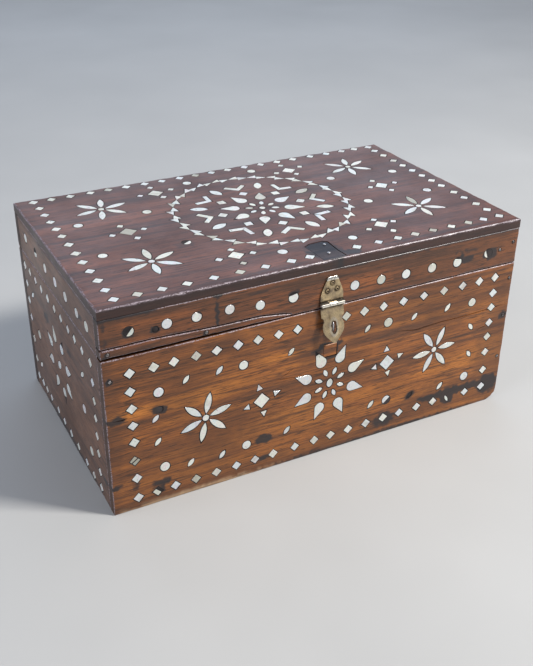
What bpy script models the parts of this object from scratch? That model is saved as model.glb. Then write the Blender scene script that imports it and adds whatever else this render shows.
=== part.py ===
"""Inlaid wooden box: a nailed hardwood chest with a hinged lid, pearl inlay and a brass hasp.

Lengths are in metres. X runs along the front, Y from the front to the back and Z up, with the
origin at the middle of the underside. Every sub-part is one closed solid, a hair clear of the
pieces it touches. The lid's pieces hang from an empty on the hinge axis, and the hasp's strap
from an empty on the hasp's own pin.
"""

import math

import bmesh
import bpy
from mathutils import Matrix, Vector

# Driving dimensions of the chest
WIDTH = 0.420
DEPTH = 0.254
HEIGHT = 0.202
PARTING = 0.157  # height of the line between the case and the lid
BOARD = 0.010  # thickness of the walls and of the lid's rails
TOP = 0.009
BOTTOM = 0.008
GAP = 0.0003  # clearance between neighbouring pieces
OVERCUT = 0.001  # how far a cutter runs past the face that it opens

# Lid hinges: the axis lies just inside the back face, and both back arrises are bevelled
# away from it, so that the two bevels meet and stop the lid at LID_OPENS.
LID_OPENS = math.radians(100)
BEVEL = LID_OPENS / 2 + math.radians(0.5)
AXIS_INSET = 0.003
HINGE_LENGTH = 0.040
HINGE_SPREAD = 0.260  # between the middles of the two hinges
HINGE_BARREL = 0.0022
HINGE_PLATE = 0.0010
HINGE_SETBACK = 0.0004  # of a leaf's edge from the board's inner face
HINGE_SHORT = 0.0012  # a leaf's plate ends this far short of the axis, inside the knuckles
PIN = 0.0008
PIN_BORE = PIN + GAP

# Screws that hold the hinges, and nails that hold the boards
SCREW_SPREAD = 0.026
SCREW_INSET = 0.0040  # from the hinge axis
SCREW_HEAD = 0.0016
SCREW_HEAD_DEEP = 0.0008
SCREW_SHANK = 0.0009
SCREW_LENGTH = 0.0080
SCREW_SUNK = 0.0001
SCREW_OVERCUT = 0.0004
NAIL_HEAD = 0.0016
NAIL_HEAD_DEEP = 0.0008
NAIL_ROUNDING = 0.0003
NAIL_PROUD = 0.0004
NAIL_SHANK = 0.0008
NAIL_LENGTH = 0.022
SHORT_NAIL = 0.0085
POINT = 0.0020

# Hasp: a leaf nailed to the lid and a slotted strap that drops over a staple on the case
HASP_X = 0.002
HASP_WIDTH = 0.0234
HASP_PLATE = 0.0010
HASP_BARREL = 0.0024
HASP_AXIS_Z = 0.1606
LEAF_LENGTH = 0.0260
LEAF_TIP = 0.0090
LEAF_NARROWER = 0.0002
LEAF_SHOULDER = 0.0085  # above the pin
LEAF_BEND = (0.0017, 0.0130)  # inward from the shoulder, and above the pin
STRAP_SHOULDER = 0.0150  # below the pin
STRAP_ROUND = 0.0110
STRAP_TIP = 0.0030
STRAP_NOTCH = 0.0025
STRAP_NOTCH_DROP = 0.0142
STRAP_LENGTH = 0.0370
STRAP_TILT = math.radians(13.5)  # how far the strap stands away from the front
SLOT_DROP = 0.02175  # from the pin down to the middle of the slot
SLOT_LENGTH = 0.0115
SLOT_WIDTH = 0.0046
STAPLE_WIRE = 0.0009  # radius
STAPLE_SPREAD = 0.0080
STAPLE_REACH = 0.0062
STAPLE_BEND = 0.0016
STAPLE_SHORT = 0.0005  # the legs end this far inside the board's inner face
HASP_PIN_PROUD = 0.0005
HASP_CUTTER = 0.005  # length of a cutter through the hasp's plates

# Inlay and repairs let into the boards
INLAY = 0.0010
POCKET = INLAY + GAP
DIAMOND = 0.0083  # half of the diagonal
TEAR_ROUND = 0.0052
TEAR_LENGTH = 0.0185
ROSETTE = (0.0044, 0.0762)  # x and z of its middle on the front
ROSETTE_RADIUS = 0.0305
TEARS = 8
SPLICE_TOP = [(-0.2100, 0.1660), (-0.1660, 0.1665), (-0.1075, 0.1640), (-0.0680, 0.1636), (-0.0490, 0.1612)]
SPLICE_END = -0.0380
SPLICE_LIP = 0.0012

FRONT = -DEPTH / 2
BACK = DEPTH / 2
SIDE = WIDTH / 2
SEAM_LOW = PARTING - GAP
SEAM_HIGH = PARTING + GAP
AXIS_Y = BACK - AXIS_INSET
HASP_AXIS_Y = FRONT - GAP - HASP_BARREL
STAPLE_Z = HASP_AXIS_Z - SLOT_DROP
SMOOTH_ANGLE = math.radians(35)
SIDES = 24
FASTENING_SIDES = 12

# Finishes: base colour, roughness, metallic
FRONT_WOOD = ((0.270, 0.095, 0.035), 0.45, 0.0)
TOP_WOOD = ((0.150, 0.072, 0.058), 0.35, 0.0)
SIDE_WOOD = ((0.135, 0.075, 0.048), 0.50, 0.0)
INSIDE_WOOD = ((0.240, 0.120, 0.055), 0.70, 0.0)
DARK_WOOD = ((0.060, 0.038, 0.030), 0.60, 0.0)
PEARL = ((0.800, 0.790, 0.720), 0.25, 0.0)
BRASS = ((0.420, 0.340, 0.160), 0.40, 1.0)
IRON = ((0.160, 0.150, 0.150), 0.50, 1.0)


# ---------------------------------------------------------------- shapes


def box(low, high):
    """A block between two corners."""
    shape = bmesh.new()
    size = Vector(high) - Vector(low)
    middle = (Vector(high) + Vector(low)) / 2
    bmesh.ops.create_cube(shape, size=1, matrix=Matrix.Translation(middle) @ Matrix.Diagonal(size.to_4d()))
    return shape


def prism(outline, axis, low, high):
    """An outline drawn square to an axis (0 for X, 1 for Y, 2 for Z), pulled from low to high."""
    shape = bmesh.new()
    corners = []
    for across, up in outline:
        point = [across, up]
        point.insert(axis, low)
        corners.append(shape.verts.new(point))
    face = shape.faces.new(corners)
    pulled = bmesh.ops.extrude_face_region(shape, geom=[face])["geom"]
    along = Vector((axis == 0, axis == 1, axis == 2)) * (high - low)
    moved = [item for item in pulled if isinstance(item, bmesh.types.BMVert)]
    bmesh.ops.translate(shape, verts=moved, vec=along)
    bmesh.ops.recalc_face_normals(shape, faces=shape.faces)
    return shape


def turned(profile, start, direction):
    """(distance, radius) steps spun round the line that leaves start along direction."""
    shape = bmesh.new()
    points = [shape.verts.new((radius, 0, along)) for along, radius in profile]
    edges = [shape.edges.new(pair) for pair in zip(points, points[1:])]
    bmesh.ops.spin(
        shape, geom=points + edges, axis=(0, 0, 1), cent=(0, 0, 0), angle=math.tau, steps=FASTENING_SIDES,
        use_merge=True,
    )
    bmesh.ops.remove_doubles(shape, verts=shape.verts, dist=1e-7)
    turn = Vector((0, 0, 1)).rotation_difference(Vector(direction)).to_matrix().to_4x4()
    bmesh.ops.transform(shape, matrix=Matrix.Translation(start) @ turn, verts=shape.verts)
    bmesh.ops.recalc_face_normals(shape, faces=shape.faces)
    return shape


def rod(start, direction, length, radius):
    """A plain round bar."""
    shape = bmesh.new()
    turn = Vector((0, 0, 1)).rotation_difference(Vector(direction)).to_matrix().to_4x4()
    middle = Vector(start) + Vector(direction) * (length / 2)
    bmesh.ops.create_cone(
        shape, cap_ends=True, segments=SIDES, radius1=radius, radius2=radius, depth=length,
        matrix=Matrix.Translation(middle) @ turn,
    )
    return shape


def swept(path, radius):
    """A round wire along a path that stays in one plane square to X."""
    shape = bmesh.new()
    rings = []
    for number, point in enumerate(path):
        before = path[max(number - 1, 0)]
        after = path[min(number + 1, len(path) - 1)]
        outward = (after - before).normalized().cross(Vector((1, 0, 0)))
        ring = []
        for side in range(SIDES):
            angle = math.tau * side / SIDES
            offset = Vector((math.cos(angle), 0, 0)) + outward * math.sin(angle)
            ring.append(shape.verts.new(point + offset * radius))
        rings.append(ring)
    for ring, following in zip(rings, rings[1:]):
        for side in range(SIDES):
            other = (side + 1) % SIDES
            shape.faces.new((ring[side], ring[other], following[other], following[side]))
    shape.faces.new(rings[0])
    shape.faces.new(rings[-1])
    bmesh.ops.recalc_face_normals(shape, faces=shape.faces)
    return shape


def arc(centre, radius, first, last, steps):
    """Points on a circle, from one angle to another in degrees."""
    angles = [math.radians(first + (last - first) * step / steps) for step in range(steps + 1)]
    return [(centre[0] + radius * math.cos(angle), centre[1] + radius * math.sin(angle)) for angle in angles]


def diamond(centre, half):
    """A square standing on its corner."""
    return arc(centre, half, 0, 270, 3)


def tear(centre, angle, shrink=0.0):
    """A drop whose point looks along the angle, in degrees, with its length centred on a point."""
    radius = TEAR_ROUND - shrink
    reach = TEAR_LENGTH - TEAR_ROUND - shrink
    offset = TEAR_LENGTH / 2 - TEAR_ROUND
    away = Vector((math.cos(math.radians(angle)), math.sin(math.radians(angle))))
    middle = Vector(centre) - away * offset
    touch = math.degrees(math.acos(radius / reach))
    round_end = arc(middle, radius, angle + touch, angle + 360 - touch, 12)
    return round_end + [tuple(middle + away * reach)]


# ---------------------------------------------------------------- objects


def to_object(name, shape):
    """Put a finished shape into the scene under its name."""
    mesh = bpy.data.meshes.new(name)
    shape.to_mesh(mesh)
    shape.free()
    item = bpy.data.objects.new(name, mesh)
    bpy.context.scene.collection.objects.link(item)
    return item


def combined(base, operation, tools):
    """The base shape joined with each tool (UNION) or cut by each tool (DIFFERENCE)."""
    item = to_object("base", base)
    helpers = [to_object("tool", tool) for tool in tools]
    for helper in helpers:
        modifier = item.modifiers.new("join", "BOOLEAN")
        modifier.operation = operation
        modifier.solver = "EXACT"
        modifier.object = helper
    graph = bpy.context.evaluated_depsgraph_get()
    shape = bmesh.new()
    shape.from_mesh(item.evaluated_get(graph).data)
    for spent in [item, *helpers]:
        bpy.data.objects.remove(spent)
    return shape


def joined(base, *tools):
    return combined(base, "UNION", tools)


def cut(base, *tools):
    return combined(base, "DIFFERENCE", tools)


def part(name, shape, finish, parent=None):
    """One sub-part with its own material, on its parent's axis if it moves."""
    if parent:
        bmesh.ops.transform(shape, matrix=parent.matrix_world.inverted(), verts=shape.verts)
    item = to_object(name, shape)
    item.parent = parent
    item.data.shade_smooth()
    item.data.set_sharp_from_angle(angle=SMOOTH_ANGLE)
    colour, roughness, metallic = finish
    material = bpy.data.materials.new(name)
    material.use_nodes = True
    surface = material.node_tree.nodes["Principled BSDF"]
    surface.inputs["Base Color"].default_value = (*colour, 1)
    surface.inputs["Roughness"].default_value = roughness
    surface.inputs["Metallic"].default_value = metallic
    item.data.materials.append(material)
    return item


def axis_empty(name, place, tilt=0.0):
    """An empty on a joint's axis, which runs along X."""
    item = bpy.data.objects.new(name, None)
    item.location = place
    item.rotation_euler = (tilt, 0, 0)
    bpy.context.scene.collection.objects.link(item)
    bpy.context.view_layer.update()
    return item


# ---------------------------------------------------------------- fastenings


def nail(x, z, length=NAIL_LENGTH):
    """A round-headed nail driven into the front at (x, z), its head just proud."""
    profile = [(0, 0), (0, NAIL_HEAD * 0.7), (NAIL_ROUNDING, NAIL_HEAD), (NAIL_HEAD_DEEP, NAIL_HEAD)]
    profile += [(NAIL_HEAD_DEEP, NAIL_SHANK), (length - POINT, NAIL_SHANK), (length, 0)]
    return turned(profile, (x, FRONT - NAIL_PROUD, z), (0, 1, 0))


def nail_hole(x, z, length=NAIL_LENGTH):
    """The hole that clears such a nail, with a wider seat for the head."""
    seat = OVERCUT + NAIL_HEAD_DEEP + GAP
    end = OVERCUT + length + GAP
    profile = [(0, 0), (0, NAIL_HEAD + GAP), (seat, NAIL_HEAD + GAP), (seat, NAIL_SHANK + GAP)]
    profile += [(end, NAIL_SHANK + GAP), (end, 0)]
    return turned(profile, (x, FRONT - OVERCUT, z), (0, 1, 0))


def domed_nail(head, length, point, place, direction):
    """A nail with a domed head, given as (depth, radius) steps from its crown to its rim."""
    rim = head[-1][0]
    profile = [(0, 0), *head, (rim, NAIL_SHANK), (length - point, NAIL_SHANK), (length, 0)]
    return turned(profile, place, direction)


def screw(x, y, z, facing):
    """A countersunk screw whose head lies level with a plate's face; facing is +1 up or -1 down."""
    profile = [(0, 0), (0, SCREW_HEAD), (SCREW_HEAD_DEEP, SCREW_SHANK), (SCREW_LENGTH - POINT, SCREW_SHANK)]
    profile.append((SCREW_LENGTH, 0))
    return turned(profile, (x, y, z - facing * SCREW_SUNK), (0, 0, -facing))


def screw_hole(x, y, z, facing):
    """The countersunk hole that clears such a screw."""
    cone_end = SCREW_OVERCUT + SCREW_HEAD_DEEP + 2 * SCREW_SUNK
    end = SCREW_LENGTH + OVERCUT
    profile = [(0, 0), (0, SCREW_HEAD + GAP + SCREW_OVERCUT), (cone_end, SCREW_SHANK + GAP)]
    profile += [(end, SCREW_SHANK + GAP), (end, 0)]
    return turned(profile, (x, y, z + facing * SCREW_OVERCUT), (0, 0, -facing))


# ---------------------------------------------------------------- layout

HINGE_PLACES = {"left": -HINGE_SPREAD / 2, "right": HINGE_SPREAD / 2}
SCREW_Y = AXIS_Y - SCREW_INSET

NAILS = {
    "nail_front_right_upper": (0.2060, 0.1403),
    "nail_front_right_middle": (0.2050, 0.0996),
    "nail_front_right_lower": (0.2050, 0.0518),
    "nail_front_left_upper": (-0.2040, 0.1358),
}
LID_NAIL = (0.2045, 0.1790)
STRAY_NAIL = (0.1890, 0.1738)
SPLICE_NAILS = {
    "nail_splice_left": (-0.2038, 0.1612),
    "nail_splice_right": (-0.1180, 0.1605),
}
HASP_NAILS = {
    "hasp_nail_top": (HASP_X - 0.0002, 0.1806),
    "hasp_nail_left": (HASP_X - 0.0050, 0.1735),
    "hasp_nail_right": (HASP_X + 0.0046, 0.1742),
}

FRONT_DIAMONDS = {"front_diamond_left": (-0.0664, 0.0777), "front_diamond_right": (0.0674, 0.0811)}
TOP_DIAMONDS = {
    "top_diamond_back_left": (-0.0757, 0.0899),
    "top_diamond_back_right": (0.0772, 0.0909),
    "top_diamond_front_left": (-0.0684, -0.0816),
    "top_diamond_front_right": (0.0830, -0.0791),
    "top_diamond_left": (-0.1340, 0.0088),
    "top_diamond_right": (0.1412, 0.0078),
}

PLUG_LOW = (-0.0034, 0.1056)
PLUG_HIGH = (0.0104, 0.1176)
PLUG_DEPTH = 0.0040
PATCH_SETBACK = 0.0008
PATCH_LOW = (-0.0068, FRONT + PATCH_SETBACK)
PATCH_HIGH = (0.0176, -0.0879)
PATCH_THICKNESS = 0.0015
PATCH_NAILS = {"patch_nail_back": (0.0117, -0.0957), "patch_nail_front": (0.0059, -0.1133)}
PATCH_NAIL_LENGTH = 0.0070
PATCH_NAIL_POINT = 0.0010
PATCH_NAIL_PROUD = 0.0009
PATCH_NAIL_HEAD = [(0.0002, 0.0010), (0.0006, 0.0015)]
PATCH_NAIL_HOLE = 0.0075
HASP_NAIL_LENGTH = 0.0090
HASP_NAIL_POINT = 0.0015
HASP_NAIL_PROUD = 0.0010
HASP_NAIL_HEAD = [(0.0001, 0.0007), (0.0004, 0.0013), (0.0007, 0.0015)]
HASP_NAIL_HOLE = 0.0085


def tear_places():
    """Name, middle and angle of each drop in the front's rosette."""
    for number in range(TEARS):
        angle = 360 * (number + 0.5) / TEARS
        x = ROSETTE[0] + ROSETTE_RADIUS * math.cos(math.radians(angle))
        z = ROSETTE[1] + ROSETTE_RADIUS * math.sin(math.radians(angle))
        yield f"front_drop_{number + 1}", (x, z), angle


# ---------------------------------------------------------------- case


def wall_nail_holes(places):
    return [nail_hole(x, z) for x, z in places]


def front_pocket(outline):
    """The cutter for a piece of inlay's seat in the front."""
    return prism(outline, 1, FRONT - OVERCUT, FRONT + POCKET)


def case_front():
    """The front board, with seats for its inlay, the old keyhole's plug, nails and the staple."""
    holes = wall_nail_holes(NAILS.values())
    holes += [front_pocket(diamond(place, DIAMOND + GAP)) for place in FRONT_DIAMONDS.values()]
    holes += [front_pocket(tear(place, angle, -GAP)) for _, place, angle in tear_places()]
    plug_low = (PLUG_LOW[0] - GAP, FRONT - OVERCUT, PLUG_LOW[1] - GAP)
    plug_high = (PLUG_HIGH[0] + GAP, FRONT + PLUG_DEPTH + GAP, PLUG_HIGH[1] + GAP)
    holes.append(box(plug_low, plug_high))
    for end in (-1, 1):
        leg = (HASP_X, FRONT - OVERCUT, STAPLE_Z + end * STAPLE_SPREAD / 2)
        holes.append(rod(leg, (0, 1, 0), BOARD + 2 * OVERCUT, STAPLE_WIRE + GAP))
    board = box((-SIDE, FRONT, 0), (SIDE, FRONT + BOARD, SEAM_LOW))
    part("case_front", cut(board, *holes), FRONT_WOOD)


def hinge_recess(place, facing):
    """The room that a hinge needs in a back board's edge: a seat for its leaf and one for its barrel."""
    seam = PARTING - facing * GAP
    low_x = place - HINGE_LENGTH / 2 - GAP
    high_x = place + HINGE_LENGTH / 2 + GAP
    levels = sorted((PARTING + facing * OVERCUT, seam - facing * (HINGE_PLATE + GAP)))
    seat = box((low_x, BACK - BOARD - OVERCUT, levels[0]), (high_x, BACK + OVERCUT, levels[1]))
    # The groove's cutter runs further out, so that no two cutter faces fall together.
    levels = sorted((PARTING + facing * 1.5 * OVERCUT, PARTING - facing * (HINGE_BARREL + GAP)))
    groove = box((low_x, AXIS_Y - HINGE_BARREL - GAP, levels[0]), (high_x, BACK + 2 * OVERCUT, levels[1]))
    return [seat, groove]


def hinge_screw_places(place):
    return [(place + side * SCREW_SPREAD / 2, SCREW_Y) for side in (-1, 1)]


def case_back():
    """The back board, its top outer arris bevelled away from the hinge axis."""
    drop = AXIS_INSET * math.tan(BEVEL)
    inner = BACK - BOARD
    outline = [(inner, 0), (BACK, 0), (BACK, SEAM_LOW - drop), (AXIS_Y, SEAM_LOW), (inner, SEAM_LOW)]
    holes = []
    for place in HINGE_PLACES.values():
        holes += hinge_recess(place, 1)
        holes += [screw_hole(x, y, SEAM_LOW, 1) for x, y in hinge_screw_places(place)]
    part("case_back", cut(prism(outline, 0, -SIDE, SIDE), *holes), SIDE_WOOD)


def case_side(name, side):
    """A side board, standing between the front and the back."""
    inner = SIDE - BOARD
    ends = sorted((side * inner, side * SIDE))
    board = box((ends[0], FRONT + BOARD + GAP, 0), (ends[1], BACK - BOARD - GAP, SEAM_LOW))
    holes = [nail_hole(x, z) for x, z in NAILS.values() if x * side > 0]
    part(name, cut(board, *holes), SIDE_WOOD)


def case_bottom():
    inner_x = SIDE - BOARD - GAP
    inner_y = BACK - BOARD - GAP
    part("case_bottom", box((-inner_x, -inner_y, 0), (inner_x, inner_y, BOTTOM)), INSIDE_WOOD)


# ---------------------------------------------------------------- lid


def patch_nail_holes():
    places = PATCH_NAILS.values()
    return [rod((x, y, HEIGHT + OVERCUT), (0, 0, -1), PATCH_NAIL_HOLE, NAIL_SHANK + GAP) for x, y in places]


def top_pocket(outline):
    """The cutter for a piece of inlay's seat in the top."""
    return prism(outline, 2, HEIGHT - POCKET, HEIGHT + OVERCUT)


def lid_top(lid):
    """The top board, with seats for six pearl diamonds and for an old lock's patch."""
    holes = [top_pocket(diamond(place, DIAMOND + GAP)) for place in TOP_DIAMONDS.values()]
    low = (PATCH_LOW[0] - GAP, FRONT - OVERCUT, HEIGHT - PATCH_THICKNESS - GAP)
    high = (PATCH_HIGH[0] + GAP, PATCH_HIGH[1] + GAP, HEIGHT + OVERCUT)
    holes.append(box(low, high))
    holes += patch_nail_holes()
    board = box((-SIDE, FRONT, HEIGHT - TOP), (SIDE, BACK, HEIGHT))
    part("lid_top", cut(board, *holes), TOP_WOOD, lid)


def splice_outline(clearance):
    """The strip let into the lower left of the lid's front rail, as x and z corners."""
    upper = [(x, z + clearance) for x, z in SPLICE_TOP]
    end = SPLICE_END + clearance
    return upper + [(end, SEAM_HIGH + SPLICE_LIP + clearance), (end, SEAM_HIGH), (-SIDE, SEAM_HIGH)]


def lid_front(lid):
    """The front rail, cut away at its lower left for the splice."""
    rail = box((-SIDE, FRONT, SEAM_HIGH), (SIDE, FRONT + BOARD, HEIGHT - TOP - GAP))
    below = SEAM_HIGH - OVERCUT
    left = -SIDE - OVERCUT
    upper = splice_outline(GAP)[:-2]
    outline = [(left, SPLICE_TOP[0][1] + GAP), *upper, (SPLICE_END + GAP, below), (left, below)]
    notch = prism(outline, 1, FRONT - OVERCUT, FRONT + BOARD + OVERCUT)
    holes = wall_nail_holes([LID_NAIL, STRAY_NAIL])
    for x, z in HASP_NAILS.values():
        holes.append(rod((x, FRONT - OVERCUT, z), (0, 1, 0), HASP_NAIL_HOLE, NAIL_SHANK + GAP))
    part("lid_front", cut(rail, notch, *holes), FRONT_WOOD, lid)


def lid_front_splice(lid):
    strip = prism(splice_outline(0), 1, FRONT, FRONT + BOARD)
    part("lid_front_splice", cut(strip, *wall_nail_holes(SPLICE_NAILS.values())), FRONT_WOOD, lid)


def lid_back(lid):
    """The back rail, its lower outer arris bevelled like the case's."""
    rise = AXIS_INSET * math.tan(BEVEL)
    top = HEIGHT - TOP - GAP
    inner = BACK - BOARD
    outline = [(inner, SEAM_HIGH), (AXIS_Y, SEAM_HIGH), (BACK, SEAM_HIGH + rise), (BACK, top), (inner, top)]
    holes = []
    for place in HINGE_PLACES.values():
        holes += hinge_recess(place, -1)
        holes += [screw_hole(x, y, SEAM_HIGH, -1) for x, y in hinge_screw_places(place)]
    part("lid_back", cut(prism(outline, 0, -SIDE, SIDE), *holes), SIDE_WOOD, lid)


def lid_side(name, side, lid):
    inner = SIDE - BOARD
    ends = sorted((side * inner, side * SIDE))
    rail = box((ends[0], FRONT + BOARD + GAP, SEAM_HIGH), (ends[1], BACK - BOARD - GAP, HEIGHT - TOP - GAP))
    places = [LID_NAIL, SPLICE_NAILS["nail_splice_left"]]
    holes = [nail_hole(x, z) for x, z in places if x * side > 0]
    part(name, cut(rail, *holes), SIDE_WOOD, lid)


# ---------------------------------------------------------------- hinges


def hinge_leaf(name, place, facing, thirds, parent):
    """A leaf in a board's edge with its knuckles; facing is +1 on the case and -1 on the lid."""
    seam = PARTING - facing * GAP
    levels = sorted((seam, seam - facing * HINGE_PLATE))
    low_x = place - HINGE_LENGTH / 2
    third = HINGE_LENGTH / 3
    low = (low_x, BACK - BOARD + HINGE_SETBACK, levels[0])
    high = (low_x + HINGE_LENGTH, AXIS_Y - HINGE_SHORT, levels[1])
    plate = box(low, high)
    knuckles = []
    clearances = []
    for number in range(3):
        start = low_x + third * number
        if number in thirds:
            knuckles.append(rod((start, AXIS_Y, PARTING), (1, 0, 0), third, HINGE_BARREL))
        else:
            end = (start - GAP / 2, AXIS_Y, PARTING)
            clearances.append(rod(end, (1, 0, 0), third + GAP, HINGE_BARREL + GAP))
    bore = rod((low_x - OVERCUT, AXIS_Y, PARTING), (1, 0, 0), HINGE_LENGTH + 2 * OVERCUT, PIN_BORE)
    screws = [screw_hole(x, y, seam, facing) for x, y in hinge_screw_places(place)]
    part(name, cut(joined(plate, *knuckles), *clearances, bore, *screws), BRASS, parent)


def hinges(lid):
    for side, place in HINGE_PLACES.items():
        hinge_leaf(f"hinge_{side}_case_leaf", place, 1, (0, 2), None)
        hinge_leaf(f"hinge_{side}_lid_leaf", place, -1, (1,), lid)
        start = (place - HINGE_LENGTH / 2, AXIS_Y, PARTING)
        part(f"hinge_{side}_pin", rod(start, (1, 0, 0), HINGE_LENGTH, PIN), BRASS)
        for number, (x, y) in enumerate(hinge_screw_places(place), 1):
            part(f"hinge_{side}_case_screw_{number}", screw(x, y, SEAM_LOW, 1), BRASS)
            part(f"hinge_{side}_lid_screw_{number}", screw(x, y, SEAM_HIGH, -1), BRASS, lid)


# ---------------------------------------------------------------- hasp


def hasp_barrel(first, last, radius):
    """A stretch of the hasp's knuckles, in thirds of its width from the left."""
    third = HASP_WIDTH / 3
    low = HASP_X - HASP_WIDTH / 2 + third * first
    return rod((low, HASP_AXIS_Y, HASP_AXIS_Z), (1, 0, 0), third * (last - first), radius)


def hasp_leaf(lid):
    """The leaf on the lid: straight beside the knuckles, then drawn in to a short flat tip."""
    half = HASP_WIDTH / 2 - LEAF_NARROWER
    base = HASP_AXIS_Z + HASP_BARREL * 0.4
    inward, bend = LEAF_BEND
    right = [(half, base), (half, HASP_AXIS_Z + LEAF_SHOULDER), (half - inward, HASP_AXIS_Z + bend)]
    right.append((LEAF_TIP / 2, HASP_AXIS_Z + LEAF_LENGTH))
    outline = [(HASP_X + x, z) for x, z in right] + [(HASP_X - x, z) for x, z in reversed(right)]
    back = FRONT - GAP
    plate = prism(outline, 1, back - HASP_PLATE, back)
    inset = GAP / 2 / (HASP_WIDTH / 3)
    knuckles = [hasp_barrel(0, 1, HASP_BARREL), hasp_barrel(2, 3, HASP_BARREL)]
    bore = hasp_barrel(-0.1, 3.1, PIN_BORE)
    window = hasp_barrel(1 - inset, 2 + inset, HASP_BARREL + GAP)
    start = back - HASP_CUTTER * 0.6
    holes = [rod((x, start, z), (0, 1, 0), HASP_CUTTER, NAIL_SHANK + GAP) for x, z in HASP_NAILS.values()]
    part("hasp_leaf", cut(joined(plate, *knuckles), window, bore, *holes), BRASS, lid)


def strap_outline():
    """A shield: square shoulders, then one wide round drawn in to a small round tip."""
    middle = HASP_AXIS_Z - SLOT_DROP
    tip_middle = HASP_AXIS_Z - STRAP_LENGTH + STRAP_TIP
    lean = math.degrees(math.asin((STRAP_ROUND - STRAP_TIP) / (middle - tip_middle)))
    half = HASP_WIDTH / 2
    right = [(half, HASP_AXIS_Z - HASP_BARREL * 0.5), (half, HASP_AXIS_Z - STRAP_SHOULDER)]
    right += arc((0, middle), STRAP_ROUND, 25, -lean, 8)
    right += arc((0, tip_middle), STRAP_TIP, -lean, -85, 4)
    return [(HASP_X + x, z) for x, z in right] + [(HASP_X - x, z) for x, z in reversed(right)]


def hasp_strap(strap_axis):
    """The strap, drawn hanging flat against the front and then swung out about its pin."""
    back = FRONT - GAP
    plate = prism(strap_outline(), 1, back - HASP_PLATE, back)
    inset = GAP / 2 / (HASP_WIDTH / 3)
    knuckle = hasp_barrel(1, 2, HASP_BARREL)
    bore = hasp_barrel(-0.1, 3.1, PIN_BORE)
    clear = HASP_BARREL + GAP
    corners = [hasp_barrel(-0.1, 1 + inset, clear), hasp_barrel(2 - inset, 3.1, clear)]
    half = SLOT_LENGTH / 2 - SLOT_WIDTH / 2
    slot = arc((HASP_X, STAPLE_Z + half), SLOT_WIDTH / 2, 0, 180, 8)
    slot += arc((HASP_X, STAPLE_Z - half), SLOT_WIDTH / 2, 180, 360, 8)
    start = back - HASP_CUTTER * 0.6
    openings = [prism(slot, 1, start, start + HASP_CUTTER)]
    for side in (-1, 1):
        notch = (HASP_X + side * (HASP_WIDTH / 2 + GAP), start, HASP_AXIS_Z - STRAP_NOTCH_DROP)
        openings.append(rod(notch, (0, 1, 0), HASP_CUTTER, STRAP_NOTCH))
    shape = cut(joined(plate, knuckle), *corners, bore, *openings)
    pin = Vector((0, HASP_AXIS_Y, HASP_AXIS_Z))
    swing = Matrix.Translation(pin) @ Matrix.Rotation(-STRAP_TILT, 4, "X") @ Matrix.Translation(-pin)
    bmesh.ops.transform(shape, matrix=swing, verts=shape.verts)
    part("hasp_strap", shape, BRASS, strap_axis)


def hasp_staple():
    """A squared loop of wire: two legs through the front board and a crown standing off it."""
    bend = STAPLE_BEND
    crown = FRONT - STAPLE_REACH + STAPLE_WIRE
    half = STAPLE_SPREAD / 2
    inner_end = FRONT + BOARD - STAPLE_SHORT
    upper = arc((crown + bend, half - bend), bend, 90, 180, 6)
    lower = arc((crown + bend, bend - half), bend, 180, 270, 6)
    flat = [(inner_end, half)] + upper + lower + [(inner_end, -half)]
    path = [Vector((HASP_X, y, STAPLE_Z + z)) for y, z in flat]
    part("hasp_staple", swept(path, STAPLE_WIRE), IRON)


def hasp_nails(lid):
    """Three dome-headed nails that hold the leaf."""
    crown = FRONT - GAP - HASP_PLATE - HASP_NAIL_PROUD
    for name, (x, z) in HASP_NAILS.items():
        shape = domed_nail(HASP_NAIL_HEAD, HASP_NAIL_LENGTH, HASP_NAIL_POINT, (x, crown, z), (0, 1, 0))
        part(name, shape, BRASS, lid)


# ---------------------------------------------------------------- inlay, repairs and nails


def inlays(lid):
    for name, place in FRONT_DIAMONDS.items():
        part(name, prism(diamond(place, DIAMOND), 1, FRONT, FRONT + INLAY), PEARL)
    for name, place, angle in tear_places():
        part(name, prism(tear(place, angle), 1, FRONT, FRONT + INLAY), PEARL)
    for name, place in TOP_DIAMONDS.items():
        part(name, prism(diamond(place, DIAMOND), 2, HEIGHT - INLAY, HEIGHT), PEARL, lid)


def repairs(lid):
    """The plug that fills the old keyhole, and the patch where an old lock's catch was."""
    low = (PLUG_LOW[0], FRONT, PLUG_LOW[1])
    high = (PLUG_HIGH[0], FRONT + PLUG_DEPTH, PLUG_HIGH[1])
    part("keyhole_plug", box(low, high), DARK_WOOD)
    low = (*PATCH_LOW, HEIGHT - PATCH_THICKNESS)
    patch = box(low, (*PATCH_HIGH, HEIGHT))
    part("lid_patch", cut(patch, *patch_nail_holes()), DARK_WOOD, lid)
    crown = HEIGHT + PATCH_NAIL_PROUD
    for name, (x, y) in PATCH_NAILS.items():
        shape = domed_nail(PATCH_NAIL_HEAD, PATCH_NAIL_LENGTH, PATCH_NAIL_POINT, (x, y, crown), (0, 0, -1))
        part(name, shape, IRON, lid)


def nails(lid):
    for name, (x, z) in NAILS.items():
        part(name, nail(x, z), IRON)
    for name, (x, z) in [("nail_lid_right", LID_NAIL), ("nail_lid_stray", STRAY_NAIL), *SPLICE_NAILS.items()]:
        short = name in ("nail_lid_stray", "nail_splice_right")
        part(name, nail(x, z, SHORT_NAIL if short else NAIL_LENGTH), IRON, lid)


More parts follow.
